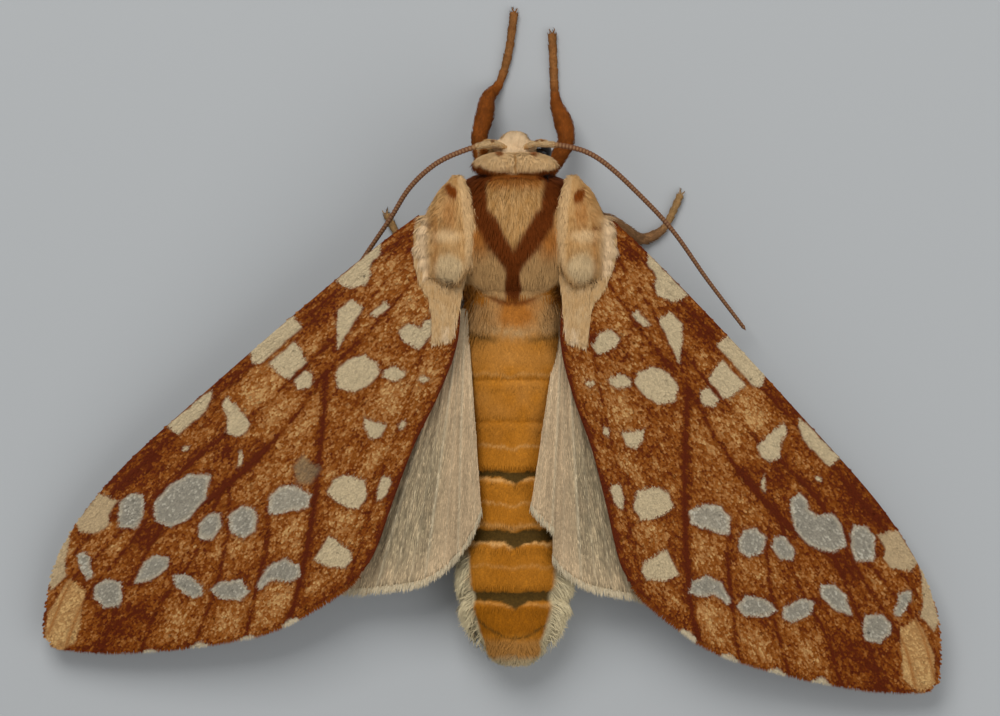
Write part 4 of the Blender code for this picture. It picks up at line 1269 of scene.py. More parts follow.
def classify(points):
    """The number of the region that each point of the skin belongs to, and how far along a leg it is."""
    away = [
        loft_distance(points, thorax_section, THORAX, COAT_DEPTH["thorax"]),
        loft_distance(points, abdomen_section, ABDOMEN, COAT_DEPTH["abdomen"]),
        np.minimum(
            np.abs(ball_distance(points, HEAD, COAT_DEPTH["head"])), np.abs(ball_distance(points, BROW, BROW_DEPTH))
        ),
        ball_distance(points, FRONS, FRONS_DEPTH),
        np.min([np.abs(ball_distance(points, spec, COAT_DEPTH["collar"], sign)) for spec, sign in COLLAR], axis=0),
        tegula_distance(points, COAT_DEPTH["tegula"]),
    ]
    folded = points.copy()
    folded[:, 0] = np.abs(folded[:, 0])
    palp_line = smooth_route(PALP)[0](np.linspace(0, 1, 40))
    away.append(line_place(folded, palp_line)[1] - PALP_RADIUS)
    shares = []
    for line in LEG_LINES.values():
        number, distance = line_place(points, line)
        away.append(distance - np.maximum(LIMB_SHARE * line[number, 3], 0.11))
        shares.append(number / (len(line) - 1))
    region = np.abs(away).argmin(axis=0)
    along = np.zeros(len(points))
    for number, share in enumerate(shares):
        along = np.where(region == len(TRUNK_FORMS) + number, share, along)
    return region, along


TRUNK_MIDDLE, TRUNK_WIDTH = 0.36, 0.68  # where the back lies across the map, and how wide the unrolled trunk is
TRUNK_EDGE = 0.71
TRUNK_FRONT, TRUNK_LENGTH = 4.5, 21.5
STRIP_START, STRIP_LENGTH, STRIP_PITCH, STRIP_WIDTH = 0.73, 0.25, 0.16, 0.14  # of a leg, beside the trunk


def body_uv(points, region, along):
    """Places on the skin unrolled: the trunk round its axis, and one strip for each leg."""
    table = np.clip(points[:, 1], THORAX[0][0], ABDOMEN[-1][0])
    level = np.where(table < 2.35, thorax_section(table)[:, 2], abdomen_section(table)[:, 2])
    turn = np.arctan2(points[:, 0], points[:, 2] - level)
    u = TRUNK_MIDDLE + TRUNK_WIDTH * turn / (2 * math.pi)
    v = in_map(np.clip((points[:, 1] + TRUNK_FRONT) / TRUNK_LENGTH, 0, 1))
    for number, line in enumerate(LEG_LINES.values()):
        on = region == len(TRUNK_FORMS) + number
        off = points[on] - line[np.round(along[on] * (len(line) - 1)).astype(int), :3]
        around = 0.5 + np.arctan2(off[:, 0] + off[:, 1] * 0.3, off[:, 2]) / (2 * math.pi)
        u[on] = STRIP_START + STRIP_LENGTH * along[on]
        v[on] = 0.02 + STRIP_PITCH * number + STRIP_WIDTH * around
    return columns_of(u, v)


# ---------------------------------------------------------------- skin and coat: markings

V_STRIPES = {
    1: [
        (1.6, -2.3, 0.6), (1.5, -1.6, 0.42), (1.3, -0.85, 0.28), (1.12, -0.45, 0.4), (0.72, 0.3, 0.38),
        (0.14, 1.1, 0.32), (0.08, 1.5, 0.21), (0.08, 2.05, 0.32), (0.08, 2.4, 0.26), (0.08, 2.56, 0.1),
    ],
    -1: [
        (-1.7, -2.3, 0.6), (-1.5, -1.6, 0.44), (-1.24, -0.85, 0.28), (-1.04, -0.45, 0.4), (-0.58, 0.3, 0.38),
        (-0.01, 1.1, 0.3), (0.06, 1.5, 0.2), (0.06, 2.05, 0.27), (0.06, 2.35, 0.12),
    ],
}


def spot(x, y, x0, y0, reach_x, reach_y, soft=0.25):
    """1 inside an oval and 0 outside, with a soft edge."""
    return step(1 + soft, 1 - soft, np.hypot((x - x0) / reach_x, (y - y0) / reach_y))


def stripe(x, y, route):
    """1 within a line whose half width changes along it."""
    return step(-0.1, 0.08, line_depth(x, y, route))


def eye_distance(points):
    """Distance from the middle of the eye on the same side."""
    x, y, z = EYE_BALL[0]
    return np.linalg.norm(points - columns_of(np.sign(points[:, 0]) * x, y, z), axis=1)


def lobe_edge(x):
    """Where the thorax's two rear lobes end, as a y for each x."""
    return 2.56 - 0.26 * np.clip(np.abs(x - 0.05), 0, 1.6) ** 2


def thorax_colours(x, y, z, colour):
    # The wedge between the arms of the V, the two rear lobes, and the dark band behind the collar, which is painted
    # shade under the collar's rear edge
    shield = step(0.1, -0.1, np.abs(x - 0.05) - 1.2 * np.clip((0.75 - y) / 1.8, 0, 1))
    streaks = noise(0.25, 95, x * 3, y)
    lobes = blend("lobe", "fur_cream", np.clip(step(1.0, 2.2, y) * 0.7 + 0.5 * (streaks - 0.5), 0, 1))
    # painted shade behind the collar: the band, darker at its ends and in its middle
    ends = step(0.75, 1.0, np.abs(x))
    middle = spot(x, y, 0, -2.25, 0.3, 0.2, 0.5)
    band = blend("rust", "fur_brown", np.clip(0.5 + np.maximum(ends, middle), 0, 1))
    colour = paint(
        colour, ("fur_tan", 0.3), (blend("shield", "fur_cream", streaks), shield),
        ("rust", step(-1.5, -1.95, y) * step(1.2, 0.9, np.abs(x)) * 0.9), (lobes, step(0.3, 0.6, y) * (1 - shield)),
        ("rust", spot(x, y, 1.33, 0.2, 0.42, 0.6, 0.8) * 0.9), ("rust", spot(x, y, -1.25, 0.28, 0.42, 0.6, 0.8) * 0.9),
        ("fur_brown", stripe(x, y, V_STRIPES[1])), ("fur_brown", stripe(x, y, V_STRIPES[-1])),
        (band, step(-2.0, -2.12, y) * step(2.4, 2.2, np.abs(x))),
    )
    # more painted shade, darkening the fur close behind the collar
    colour = colour * (1 - 0.38 * step(-1.8, -2.05, y) * step(1.3, 1.0, np.abs(x)))[:, None]
    # painted shade at the thorax's rear end, in the dip where it meets the abdomen
    colour = colour * (1 - 0.2 * step(2.08, 2.2, y))[:, None]
    beyond = y - lobe_edge(x)
    return paint(
        colour, (blend("ochre", "rust", 0.5), step(-0.12, 0.08, beyond)),
        ("fur_brown", near(beyond - 0.06, 0.12) * step(1.2, 0.5, np.abs(x - 0.1)) * 0.85),
    )


def tegula_colours(x, y, z, colour):
    out = np.abs(x)
    streaks = np.clip(noise(0.2, 96, x * 3, y) * 1.5 - 0.25 + 0.4 * (noise(0.5, 99, x, y) - 0.5), 0, 1)
    inner = out - np.interp(y, [-2.2, -1.2, 0.4, 1.4], [2.15, 2.0, 1.85, 1.9])
    beside, behind = out - 2.43, y - np.where(x > 0, -1.6, -1.44)  # from the dark oval mark, which lies at a slant
    mark = np.hypot((beside * 0.85 + behind * 0.5) / 0.19, (behind * 0.85 - beside * 0.5) / 0.3)
    nick_x, nick_y = np.where(x > 0, 3.23, 3.08), np.where(x > 0, -0.34, -0.19)
    return paint(
        LIN["fur_tan"] * 0.9, ("fur_cream", 0.2 + 0.75 * streaks),
        ("fur_pale", step(0.12, -0.05, inner) * step(1.5, 1.2, y) * 0.6),
        ("rust", spot(out, y, 2.5, -0.75, 0.26, 0.55, 0.6) * 0.45),
        ("fur_pale", spot(out, y, 2.6, 0.1, 0.5, 0.22, 0.6) * 0.9),
        (blend("fur_pale", "tuft_pale", 0.5), spot(out, y, 2.5, 1.3, 0.55, 0.55, 0.25) * 0.8),
        ("lobe", near(y - 0.62, 0.14) * step(3.0, 2.8, out) * step(1.95, 2.15, out) * 0.7),
        ("vertex", step(3.1, 3.45, out) * step(-0.9, -0.3, y) * 0.85),
        ("rust", near(out - 3.0, 0.12) * step(-1.2, -0.6, y) * step(1.7, 1.4, y) * 0.28),
        (blend("brown", "fur_brown", 0.5), step(1.25, 0.8, mark)),
        ("fur_brown", spot(out, y, nick_x, nick_y, 0.2, 0.06, 0.4) * 0.7),
    )


def head_colours(x, y, z, colour):
    around = eye_distance(columns_of(x, y, z))
    return paint(
        colour, ("vertex", step(3.2, 3.6, z) * step(0.95, 0.7, np.abs(x))), ("fur_tan", step(3.0, 2.6, z) * 0.5),
        ("fur_cream", 0.8 * noise(0.12, 102, x * 2, y) * step(0.35, 0.6, np.abs(x))),
        ("rust", step(EYE_BALL[1] + 0.2, EYE_BALL[1] + 0.1, around) * step(3.4, 3.2, z) * 0.6),
    )


def collar_colours(x, y, z, colour):
    # The dark band starts at the collar's rear edge, whose rear underside is painted shade
    edge = y - np.where(x > 0, -2.34 - 0.13 * x * x, -2.34 - 0.07 * x * x)
    # painted shade on the collar's rear underside, darker at its two ends
    under = blend("rust", "fur_brown", 0.6 + 0.4 * step(0.7, 1.0, np.abs(x)))
    return paint(
        colour, ("fur_pale", 0.35 + 0.5 * noise(0.2, 97, x * 3, y)),
        ("brown", spot(x, y, 0.61, -3.04, 0.16, 0.1, 0.4) * 0.85),
        ("brown", spot(x, y, -0.72, -3.04, 0.16, 0.1, 0.4) * 0.85),
        ("fur_tan", step(0.07, 0.02, np.abs(x)) * 0.8), (under, step(-0.02, 0.06, edge)),
    )


ABDOMEN_LEANS = 0.25  # how far left of the middle the orange back of the last segments lies
PALE_LINES = [  # (y at the middle, half width, strength) of the abdomen's thin pale lines
    (5.3, 0.06, 0.25), (8.02, 0.05, 0.4), (9.3, 0.07, 0.6), (10.2, 0.05, 0.4), (11.05, 0.09, 0.35), (11.72, 0.08, 0.7),
    (12.6, 0.06, 0.2), (14.05, 0.06, 0.25),
]


def flank_share(x, y, z):
    """0 on the orange back of the abdomen and 1 on its pale sides."""
    level = abdomen_section(np.clip(y, ABDOMEN[0][0], ABDOMEN[-1][0]))[:, 2]
    turn = np.arctan2(np.abs(x - ABDOMEN_LEANS), np.maximum(z - level, -1.0)) - 0.2 * step(15.4, 16.0, y)
    return step(1.0, 1.16, turn) * step(11.8, 12.4, y)


def abdomen_colours(x, y, z, colour):
    top = step(1.2, 2.0, z)
    pale = np.clip(step(5.6, 4.6, y) * 0.2 + 0.4 * noise(0.5, 92, x, y) * step(8.5, 7.0, y), 0, 1)
    base = paint(
        "ochre", ("ochre_deep", 0.6 * noise(0.8, 91, x, y)), ("ochre_pale", pale),
        ("rust", step(3.9, 3.3, y) * 0.75), ("ochre_deep", step(13.9, 14.2, y) * step(15.3, 15.1, y) * 0.9),
        ("ochre_pale", step(15.3, 15.6, y) * 0.9),
    )
    colour = blend(colour, base, top)
    for middle, reach, share in PALE_LINES:
        wavy = y - middle - 0.035 * np.sin(x * 4) - 0.02 * np.sin(x * 9) - 0.1 * near(x, 0.3)
        colour = blend(colour, "pale_tan", near(wavy, reach) * share * top)
    for first, last in SEGMENT_GAPS[1:]:
        notch = 0.25 * near(x, 0.35)
        inside = step(first - 0.05, first + 0.05, y - notch * 0.3) * step(last + 0.05, last - 0.05, y - notch)
        colour = blend(colour, "gap_dark", inside * step(2.2, 1.8, np.abs(x)) * top)
    for middle in FINE_GAPS:
        colour = blend(colour, "ochre_deep", near(y - middle, 0.05) * 0.7)
    beside = step(0.3, 1.1, np.abs(x) + 0.5 * (noise(0.35, 104, x, y) - 0.5))
    arc = y - 3.72 + 0.1 * x * x  # from the pale band across the first segment
    tail = y - 15.35 + 0.28 * (x / 0.9) ** 2  # from the dark line before the tail
    return paint(
        colour, (blend("fur_tan", "lobe", noise(0.3, 98, x, y)), step(3.9, 3.6, y) * beside * 0.85),
        ("fur_brown", near(y - lobe_edge(x) - 0.06, 0.1) * step(1.2, 0.5, np.abs(x - 0.1)) * 0.85),
        ("lobe", near(arc, 0.25) * 0.85 * (0.4 + noise(0.2, 101, x * 2, y))),
        ("gap_dark", near(arc - 0.33, 0.1) * step(0.3, 0.9, np.abs(x - 0.1)) * 0.6),
        ("gap_dark", near(tail, 0.05) * 0.8 * top),
        ("tuft_pale", np.maximum(flank_share(x, y, z), 0.8 * step(16.0, 16.25, y))),
    )


FORM_COLOURS = {
    "thorax": thorax_colours, "abdomen": abdomen_colours, "head": head_colours, "frons": head_colours,
    "collar": collar_colours, "tegula": tegula_colours,
}


def leg_colours(name, along):
    """Brown thighs and shins, with paler feet that darken at the end of each joint."""
    thigh, foot = ("leg_brown", "foot") if name.startswith("fore") else ("leg_ochre", "foot_pale")
    starts = foot_share(LEGS[name])
    at_joint = step(0.75, 1.0, joint_share(starts, along)) * (along > starts) * 0.3
    return paint(plain(thigh, len(along)), (foot, step(starts - 0.05, starts + 0.1, along)), ("fur_brown", at_joint))


def body_colours(points, region, along):
    """The markings of skin and coat, by place on the body."""
    x, y, z = points.T
    x = x + 0.08 * (noise(0.2, 93, x, y, z) - 0.5)
    y = y + 0.12 * (noise(0.15, 94, points[:, 0], y, z) - 0.5)
    colour = blend(plain("fur_cream", len(x)), "fur_tan", 0.35 * step(3.2, 2.3, z))
    for number, form in enumerate(REGIONS):
        on = region == number
        if form in LEGS:
            colour[on] = leg_colours(form, along[on]) * (0.75 + 0.5 * noise(0.22, 103, x[on], y[on], z[on]))[:, None]
        elif form in FORM_COLOURS:
            colour[on] = FORM_COLOURS[form](x[on], y[on], z[on], colour[on])
        else:
            colour[on] = LIN["fur_cream"]
    return colour


def hair_colours(places, lies, reach, region, along, rng):
    """The markings where a hair's root, middle and tip lie, each hair a little lighter or darker as a whole."""
    tone = rng.uniform(0.96, 1.04, len(places))[:, None]
    shown = [places + lies * (reach * share)[:, None] for share in (0.15, 0.55, 0.9)]
    return np.stack([body_colours(place, region, along) * tone for place in shown], axis=1)


SKIN_POINTS, SKIN_FACES = make_skin_shape()
SKIN_REGION, SKIN_ALONG = classify(SKIN_POINTS)

SKIN_BRIGHT = 1.5  # makes up for the shade under the coat


def make_skin():
    colours = body_colours(SKIN_POINTS, SKIN_REGION, SKIN_ALONG) * SKIN_BRIGHT
    uv = body_uv(SKIN_POINTS, SKIN_REGION, SKIN_ALONG)
    skin = add_piece("body_skin", SKIN_POINTS, SKIN_FACES, "skin", "thorax_fur", colours, uv)
    corner = np.empty(len(skin.data.loops) * 2)
    layer = skin.data.uv_layers["OFBake"].data
    layer.foreach_get("uv", corner)
    corner = corner.reshape(-1, 2)
    for polygon in skin.data.polygons:  # a face across the seam of the unrolled trunk goes wholly to one side
        rows = slice(polygon.loop_start, polygon.loop_start + polygon.loop_total)
        if np.ptp(corner[rows, 0]) > 0.4:
            corner[rows, 0] = np.where(corner[rows, 0] < TRUNK_MIDDLE, corner[rows, 0] + TRUNK_WIDTH, corner[rows, 0])
            corner[rows, 0] = np.minimum(corner[rows, 0], TRUNK_EDGE)
    layer.foreach_set("uv", corner.ravel())
    trunk = ["thorax", "head"] + [f"abdomen_{number}" for number in range(1, 9)]
    pairs = ("collar", "tegula", "palp", "foreleg", "midleg", "hindleg")
    paired = [f"{form}_{side}" for form in pairs for side in SIDES]
    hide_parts(*trunk, *paired)


make_skin()

# ---------------------------------------------------------------- coat of the body


def face_table():
    """Corners, area and normal of each face of the skin, with triangles as quads that repeat a corner."""
    quads = np.array([(*face, face[-1])[:4] for face in SKIN_FACES if len(face) in (3, 4)])
    a, b, c, d = (SKIN_POINTS[quads[:, n]] for n in range(4))
    cross = np.cross(c - a, d - b)
    return quads, np.linalg.norm(cross, axis=1) / 2, unit(cross)


QUADS, AREAS, FACE_NORMALS = face_table()


def sample_skin(rng, weight_at, count):
    """Random places on the skin, as many in each spot as its weight asks, with the normal and region there."""
    middle = SKIN_POINTS[QUADS].mean(axis=1)
    region, along = SKIN_REGION[QUADS[:, 0]], SKIN_ALONG[QUADS[:, 0]]
    weight = AREAS * weight_at(middle, FACE_NORMALS, region, along)
    chosen = np.searchsorted(np.cumsum(weight) / weight.sum(), rng.random(count))
    u, v = rng.random((2, count, 1))
    a, b, c, d = (SKIN_POINTS[QUADS[chosen, n]] for n in range(4))
    places = (a * (1 - u) + b * u) * (1 - v) + (d * (1 - u) + c * u) * v
    return places, FACE_NORMALS[chosen], region[chosen], along[chosen]


def into_surface(directions, normals):
    return unit(directions - normals * np.sum(directions * normals, axis=1, keepdims=True))


def laid(directions, normals, rng, spread, clump_seed, places, clump=0.35):
    """Directions brought into the surface, with some scatter and with neighbours leaning into locks."""
    lean = columns_of(*[noise(0.33, clump_seed + n, *places.T) - 0.5 for n in range(3)])
    return into_surface(directions + rng.normal(0, spread, directions.shape) + 2 * clump * lean, normals)


def grow(name, forms, count, length, width, lift, direction, seed, spread=0.15, slot="cream_fur", material="fur",
         density=None, limit=None, clump=0.35, bright=HAIR_BRIGHT):
    """Hair on some forms of the body, with its ranges of length, width and lift, and the way it lies.

    density weighs the places for its roots, and limit says how long it may be at each place.
    """
    rng = np.random.default_rng(seed)
    numbers = [REGIONS.index(form) for form in forms]

    def weight(middle, normals, region, along):
        on = np.isin(region, numbers).astype(float)
        return on * (density(middle, normals) if density else 1)

    places, normals, region, along = sample_skin(rng, weight, count)
    lies = laid(direction(places), normals, rng, spread, seed, places, clump)
    reach = rng.uniform(*length, count) * (0.75 + 0.5 * noise(0.4, seed + 5, *places.T))
    if limit:
        reach = np.minimum(reach, limit(places))
    colours = hair_colours(places, lies, reach, region, along, rng)
    rise = rng.uniform(*lift, count) * (0.6 + 0.8 * noise(0.3, seed + 6, *places.T))
    uv = body_uv(places, region, along)
    kept = reach > 0.05
    roots = [values[kept] for values in (places, normals, lies, reach, rng.uniform(*width, count), rise, colours, uv)]
    add_hairs(name, material, slot, rng, *roots, bright)


def combed(outward, up=0.0, ahead=1.0, turns=0.8):
    """Hair that lies towards the tail, or towards the head where ahead is -1, and away from the midline."""
    return lambda places: columns_of(outward * np.tanh(places[:, 0] / turns), ahead, up)


def more_on_top(middle, normals):
    """More hair where it shows from above, and enough everywhere else."""
    return 0.55 + 0.9 * step(-0.2, 0.5, normals[:, 2])


def clear_of_eyes(middle, normals):
    return (eye_distance(middle) > EYE_BALL[1]).astype(float)


def clear_of_right_eye(places):
    """How long a hair near the right eye may be before it would cover the eye."""
    free = np.maximum(eye_distance(places) - EYE_BALL[1], 0) * 0.7 + 0.06
    return np.where(places[:, 0] < -0.2, free, 9.0)


def before_gaps(places):
    """How long a hair on the abdomen may be before it would cover a dark fold."""
    y = places[:, 1]
    free = np.full(len(y), 9.0)
    for first, last in SEGMENT_GAPS[1:]:
        inside = (y > first - 0.02) & (y < last)
        free = np.where(y <= first - 0.02, np.minimum(free, first + 0.08 - y), free)
        free = np.where(inside, 0.06, free)
    return free


def before_lobe_edge(places):
    """How long a hair on the thorax may be before it would hide the edge of the rear lobes."""
    left = lobe_edge(places[:, 0]) - places[:, 1]
    return np.where(left > 0, left + 0.04, 0.5)


def lobe_share(places):
    """How far each place is from the inner to the outer edge of its shoulder lobe, from 0 to 1."""
    inner, outer = tegula_section(places[:, 1]).T[:2]
    return (np.abs(places[:, 0]) - inner) / (outer - inner)


def short_at_tip(places):
    """How long a hair on the shoulder lobe may be: short where it curves over the front."""
    rim = step(0.75, 0.95, lobe_share(places)) * step(-0.1, -0.6, places[:, 1])
    return 0.14 + 0.6 * step(-2.3, -1.3, places[:, 1]) * (1 - 0.8 * rim)


def tegula_fan(places):
    """Hair of the shoulder lobe: along its inner edge, fanned out over its front, straight back behind."""
    outward = (-0.15 + 0.45 * np.clip(lobe_share(places), 0, 1)) * step(0.5, -0.9, places[:, 1])
    return columns_of(outward * np.sign(places[:, 0]), 1.0, 0.0)


def tegula_rim(middle, normals):
    """The outer rim of the shoulder lobe, in separate scallops."""
    x, y = middle[:, 0], middle[:, 1]
    return step(0.7, 0.85, lobe_share(middle)) * step(-0.8, -0.4, y) * (noise(0.2, 229, y, x * 0.3) > 0.42)


def tegula_front(middle, normals):
    """The outer edge of the shoulder lobe's front."""
    y = middle[:, 1]
    return step(0.6, 0.8, lobe_share(middle)) * step(-2.1, -1.8, y) * step(-0.5, -0.9, y)


def on_side(sign, density):
    return lambda middle, normals: (middle[:, 0] * sign > 0) * density(middle, normals)


grow("thorax_fur", ["thorax"], 14300, (0.4, 0.75), (0.022, 0.036), (0.02, 0.09), combed(0.1, 0.1), 201,
     slot="thorax_fur", density=more_on_top, limit=before_lobe_edge, spread=0.06, clump=0.12)
grow("collar_fur", ["collar"], 5200, (0.18, 0.32), (0.02, 0.03), (0.01, 0.05), combed(0.1, -0.1), 211, spread=0.06,
     clump=0.08)
for side, sign in SIDES.items():
    grow(f"tegula_{side}_fur", ["tegula"], 8000, (0.35, 0.65), (0.022, 0.036), (0.01, 0.05), tegula_fan, 221 + sign,
         density=on_side(sign, more_on_top), limit=short_at_tip, spread=0.05, clump=0.12)
    grow(f"tegula_{side}_rim", ["tegula"], 1500, (0.3, 0.5), (0.025, 0.04), (0.03, 0.1), combed(0.6), 226 + sign,
         density=on_side(sign, tegula_rim), spread=0.1, clump=0.3)
    grow(f"tegula_{side}_front", ["tegula"], 700, (0.4, 0.6), (0.025, 0.04), (0.03, 0.09), combed(1.4), 236 + sign,
         density=on_side(sign, tegula_front), spread=0.08, clump=0.1)
grow("head_fur", ["head", "frons"], 6500, (0.16, 0.28), (0.018, 0.032), (0.05, 0.13), combed(0.5, 0.3, -1, 0.5), 231,
     density=clear_of_eyes, limit=clear_of_right_eye, spread=0.2, clump=0.3)
grow("palp_fur", ["palp"], 700, (0.1, 0.18), (0.025, 0.04), (0.04, 0.12), combed(0.1, 0.3, -1, 0.5), 241)
grow("abdomen_scales", ["abdomen"], 14200, (0.2, 0.34), (0.03, 0.048), (0.005, 0.025), combed(0.03), 251,
     slot="abdomen_scales", material="body_scales", density=more_on_top, limit=before_gaps, spread=0.05, clump=0.08)


def tuft(name, count, centre, reach, direction, length, seed, slot, lift=(0.04, 0.16), bright=HAIR_BRIGHT):
    """Longer hair in one place on the skin."""

    def density(middle, normals):
        share = 0.02 + flank_share(*middle.T) if name.startswith("flank") else 1
        return np.exp(-np.sum(((middle - centre) / reach) ** 2, axis=1)) * share + 1e-9

    grow(name, ["thorax", "abdomen"], count, length, (0.025, 0.04), lift,
         lambda places: np.broadcast_to(np.array(direction, float), places.shape), seed, slot=slot, density=density,
         bright=bright)


for side, sign in SIDES.items():
    other = int(sign < 0)
    tuft(f"flank_tuft_{side}", 2600, (1.9 * sign, 13.9, 2.1), (0.4, 1.2, 0.5), (1.0 * sign, 0.8, 0.15), (0.35, 0.68),
         261 + other, "abdomen_scales", (0.1, 0.3), 2.2)
    tuft(f"rump_tuft_{side}", 400, (1.3 * sign, 3.2, 3.4), (0.45, 0.45, 0.4), (0.1 * sign, 1, 0), (0.4, 0.6),
         263 + other, "abdomen_scales")
    tuft(f"waist_tuft_{side}", 450, (1.72 * sign, 1.9, 2.9), (0.2, 0.35, 0.4), (0.5 * sign, 1, 0.1), (0.8, 1.2),
         267 + other, "thorax_fur", (0.15, 0.4), 1.7)
    tuft(f"tail_tuft_{side}", 500, (0.6 * sign, 15.9, 2.0), (0.45, 0.4, 0.6), (0.45 * sign, 1, 0), (0.3, 0.5),
         265 + other, "abdomen_scales")
tuft("tail_tuft_middle", 400, (0, 16.25, 2.0), (0.5, 0.25, 0.6), (0, 1, 0), (0.2, 0.34), 269, "abdomen_scales")


def leg_coat(name):
    """Hair along a leg, short and close on the foot."""
    rng = np.random.default_rng(300 + list(LEGS).index(name))
    number = REGIONS.index(name)
    count = 1500
    places, normals, region, along = sample_skin(rng, lambda m, n, r, a: (r == number).astype(float), count)
    line = LEG_LINES[name][:, :3]
    tangents = unit(np.gradient(line, axis=0))
    lies = laid(tangents[np.round(along * (len(line) - 1)).astype(int)], normals, rng, 0.12, 310, places, 0.15)
    starts = foot_share(LEGS[name])
    on_foot = step(starts - 0.12, starts, along)
    low = step(0.1, 0.03, places[:, 2])
    length = rng.uniform(0.16, 0.28, count) * (1 - on_foot) + rng.uniform(0.08, 0.15, count) * on_foot
    rise = (rng.uniform(0.01, 0.045, count) * (1 - on_foot) + 0.01) * (1 - low)
    colours = hair_colours(places, lies, length, region, along, rng)
    add_hairs(
        f"{name}_hair", "leg_scales", "leg_scales", rng, places, normals, lies, length * (1 - 0.4 * low),
        (0.025, 0.038), rise, colours, body_uv(places, region, along), bright=1.3,
    )


for name in LEGS:
    leg_coat(name)

# ---------------------------------------------------------------- antennae and eyes

RING_PERIOD = 0.13
SCAPE_ENDS = 0.1  # the share of the antenna that its thick first joint takes
SCAPE_DOTS = [(0.8, -3.53), (-0.74, -3.57), (-0.97, -3.59)]


def antenna_radius(share):
    scape = 0.012 * np.exp(-(((share - 0.05) / 0.045) ** 4))
    return (0.104 - 0.034 * share**1.4 + scape) * step(1.0, 0.985, share) + 0.006


def antenna_route(side):
    return [(x, y, z, 0) for x, y, z in ANTENNAE[side]]


def make_antenna(side):
    """A tapering thread of many short rings, each a little wider at its outer end."""
    route = antenna_route(side)
    rings = int(smooth_route(route)[1] / RING_PERIOD)
    steps, sides = rings * 5 + 1, 12

    def ringed(share):
        return np.sin((share * rings % 1) * math.pi)

    def radius(share):
        return antenna_radius(share) * (0.78 + 0.22 * ringed(share) ** 0.5)

    points, faces = tube_mesh(route, radius, steps, sides)
    share = np.repeat(np.linspace(0, 1, steps), sides)
    around = np.tile(np.arange(sides) / sides, steps)
    # a painted highlight: a pale dot on the top of each ring's bulge, where the light falls
    painted_top_highlight = near(around - 0.25, 0.12) * ringed(share) ** 2
    colours = LIN["antenna"] * (0.7 + 0.25 * ringed(share))[:, None]
    colours = paint(colours, ("fur_pale", 0.4 * painted_top_highlight), ("fur_cream", step(0.13, 0.08, share)))
    uv = columns_of(in_map(share), in_map(around))
    piece = add_piece(f"antenna_{side}_thread", points, faces, "antenna", "antenna", colours, uv)
    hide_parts(f"antenna_{side}")


def make_eye(side):
    rings, sides = 64, 96
    centre, radius = EYE_BALL
    points, faces = ball_mesh((centre, (radius,) * 3), 0, SIDES[side], rings, sides)
    polar, angle = np.meshgrid(np.linspace(0, 1, rings), np.arange(sides) / sides, indexing="ij")
    uv = columns_of(in_map(angle.ravel()), in_map(polar.ravel()))
    piece = add_piece(f"eye_{side}_ball", points, faces, "eye_black", "eye", None, uv)
    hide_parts(f"eye_{side}")


def eye_lashes(side):
    """Hair that reaches over the eye from the head: over its front on the right, over most of it on the left."""
    rng = np.random.default_rng(331)
    sign, count = SIDES[side], 1200
    (cx, cy, cz), radius = EYE_BALL
    directions = unit(rng.normal(size=(count * 6, 3)))
    outward, backward, upward = directions.T * [[sign], [1], [1]]
    covered = (backward < -0.65) | (outward < -0.55) if side == "right" else outward < 0.8
    normals = directions[covered & (upward > 0.25)][:count]
    places = np.array([cx * sign, cy, cz]) + normals * (radius + 0.01)
    lies = laid(np.broadcast_to([0.8 * sign, 0.5, 0.0], normals.shape), normals, rng, 0.1, 332, places, 0.1)
    size = len(places)
    rust = step(0.6, 0.9, noise(0.25, 333, *places.T) + 0.25 * (side == "right"))
    colours = blend(plain("fur_cream", size), "rust", rust)
    if side == "left":
        colours = blend(colours, "brown", spot(places[:, 0], places[:, 1], 1.08, -3.2, 0.14, 0.12, 0.3) * 0.9)
    uv = body_uv(places, np.full(size, REGIONS.index("head")), np.zeros(size))
    add_hairs(
        f"eye_{side}_lashes", "fur", "cream_fur", rng, places, normals, lies, (0.12, 0.2), (0.02, 0.032), (0.03, 0.09),
        colours, uv, bright=1.3,
    )


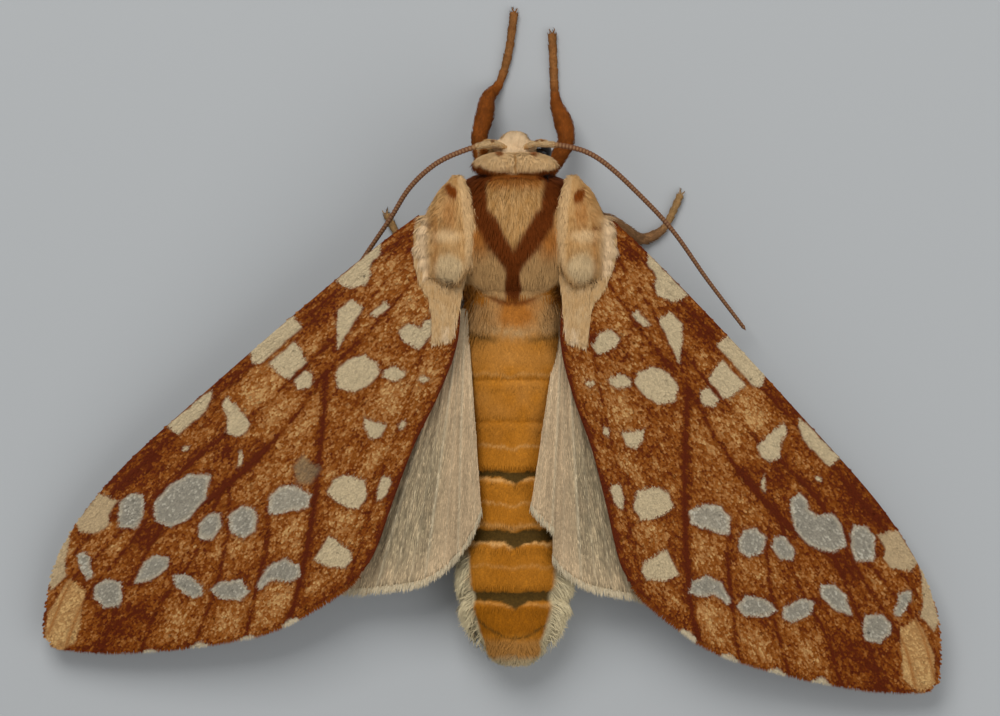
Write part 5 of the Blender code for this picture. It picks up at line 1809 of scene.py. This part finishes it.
def scape_hair(side):
    """Short pale hair round the thick first joint of the antenna."""
    rng = np.random.default_rng(341)
    count = 600
    curve, _ = smooth_route(antenna_route(side))
    share = rng.uniform(0.015, SCAPE_ENDS, count)
    middle = curve(share)[:, :3]
    tangent = unit(curve(share + 0.005)[:, :3] - middle)
    normals = into_surface(rng.normal(size=(count, 3)), tangent)
    places = middle + normals * antenna_radius(share)[:, None]
    colours = plain("fur_pale", count) * rng.uniform(0.85, 1.1, count)[:, None]
    dark = np.min([np.hypot(places[:, 0] - x, places[:, 1] - y) for x, y in SCAPE_DOTS], axis=0)
    colours = blend(colours, "fur_brown", step(0.09, 0.05, dark))
    uv = columns_of(in_map(share), rng.uniform(0.05, 0.95, count))
    add_hairs(
        f"antenna_{side}_scape_hair", "fur", "cream_fur", rng, places, normals, tangent, (0.08, 0.14), (0.016, 0.024),
        (0.0, 0.015), colours, uv, bright=1.2,
    )


for side in SIDES:
    make_antenna(side)
    scape_hair(side)
    make_eye(side)
    eye_lashes(side)

# ---------------------------------------------------------------- floor, light and camera

FIELD_WIDTH = 38.0
VIEW_CENTRE = (0.57, 4.674, 3.3)
VIEW_DISTANCE = 170.0
FLOOR_HALF = 600


def make_floor():
    corners = np.array([(-1, -1, 0), (1, -1, 0), (1, 1, 0), (-1, 1, 0)]) * FLOOR_HALF * MM
    floor = new_object("floor", new_mesh("floor", corners, [(0, 1, 2, 3)]))
    material, _, shader = new_material("floor")
    set_inputs(shader, {"Base Color": (0.405, 0.417, 0.42, 1), "Roughness": 0.9})
    floor.data.materials.append(material)


def make_light(name, place, energy, size):
    """A soft square light that faces the body, at a place from the view's centre."""
    data = bpy.data.lights.new(name, "AREA")
    data.energy, data.size = energy, size * MM
    light = new_object(name, data)
    light.location = (np.array(place) + VIEW_CENTRE) * MM + ORIGIN
    light.rotation_euler = (-Vector(place)).to_track_quat("-Z", "Y").to_euler()


def make_camera():
    data = bpy.data.cameras.new("camera")
    data.sensor_width = 36
    data.lens = data.sensor_width * VIEW_DISTANCE / FIELD_WIDTH
    data.clip_start, data.clip_end = 0.001, 10
    camera = new_object("camera", data)
    camera.location = (np.array(VIEW_CENTRE) + [0, 0, VIEW_DISTANCE]) * MM + ORIGIN
    camera.rotation_euler = (0, 0, math.pi)
    bpy.context.scene.camera = camera


make_floor()
make_light("key", (40, -120, 160), 0.276, 120)
make_light("fill", (-100, 60, 140), 0.096, 160)
make_camera()
world = bpy.data.worlds.new("world")
world.use_nodes = True
set_inputs(world.node_tree.nodes["Background"], {"Color": (0.95, 0.97, 1.0, 1), "Strength": 0.39})
bpy.context.scene.world = world
bpy.context.scene.view_settings.view_transform = "Standard"
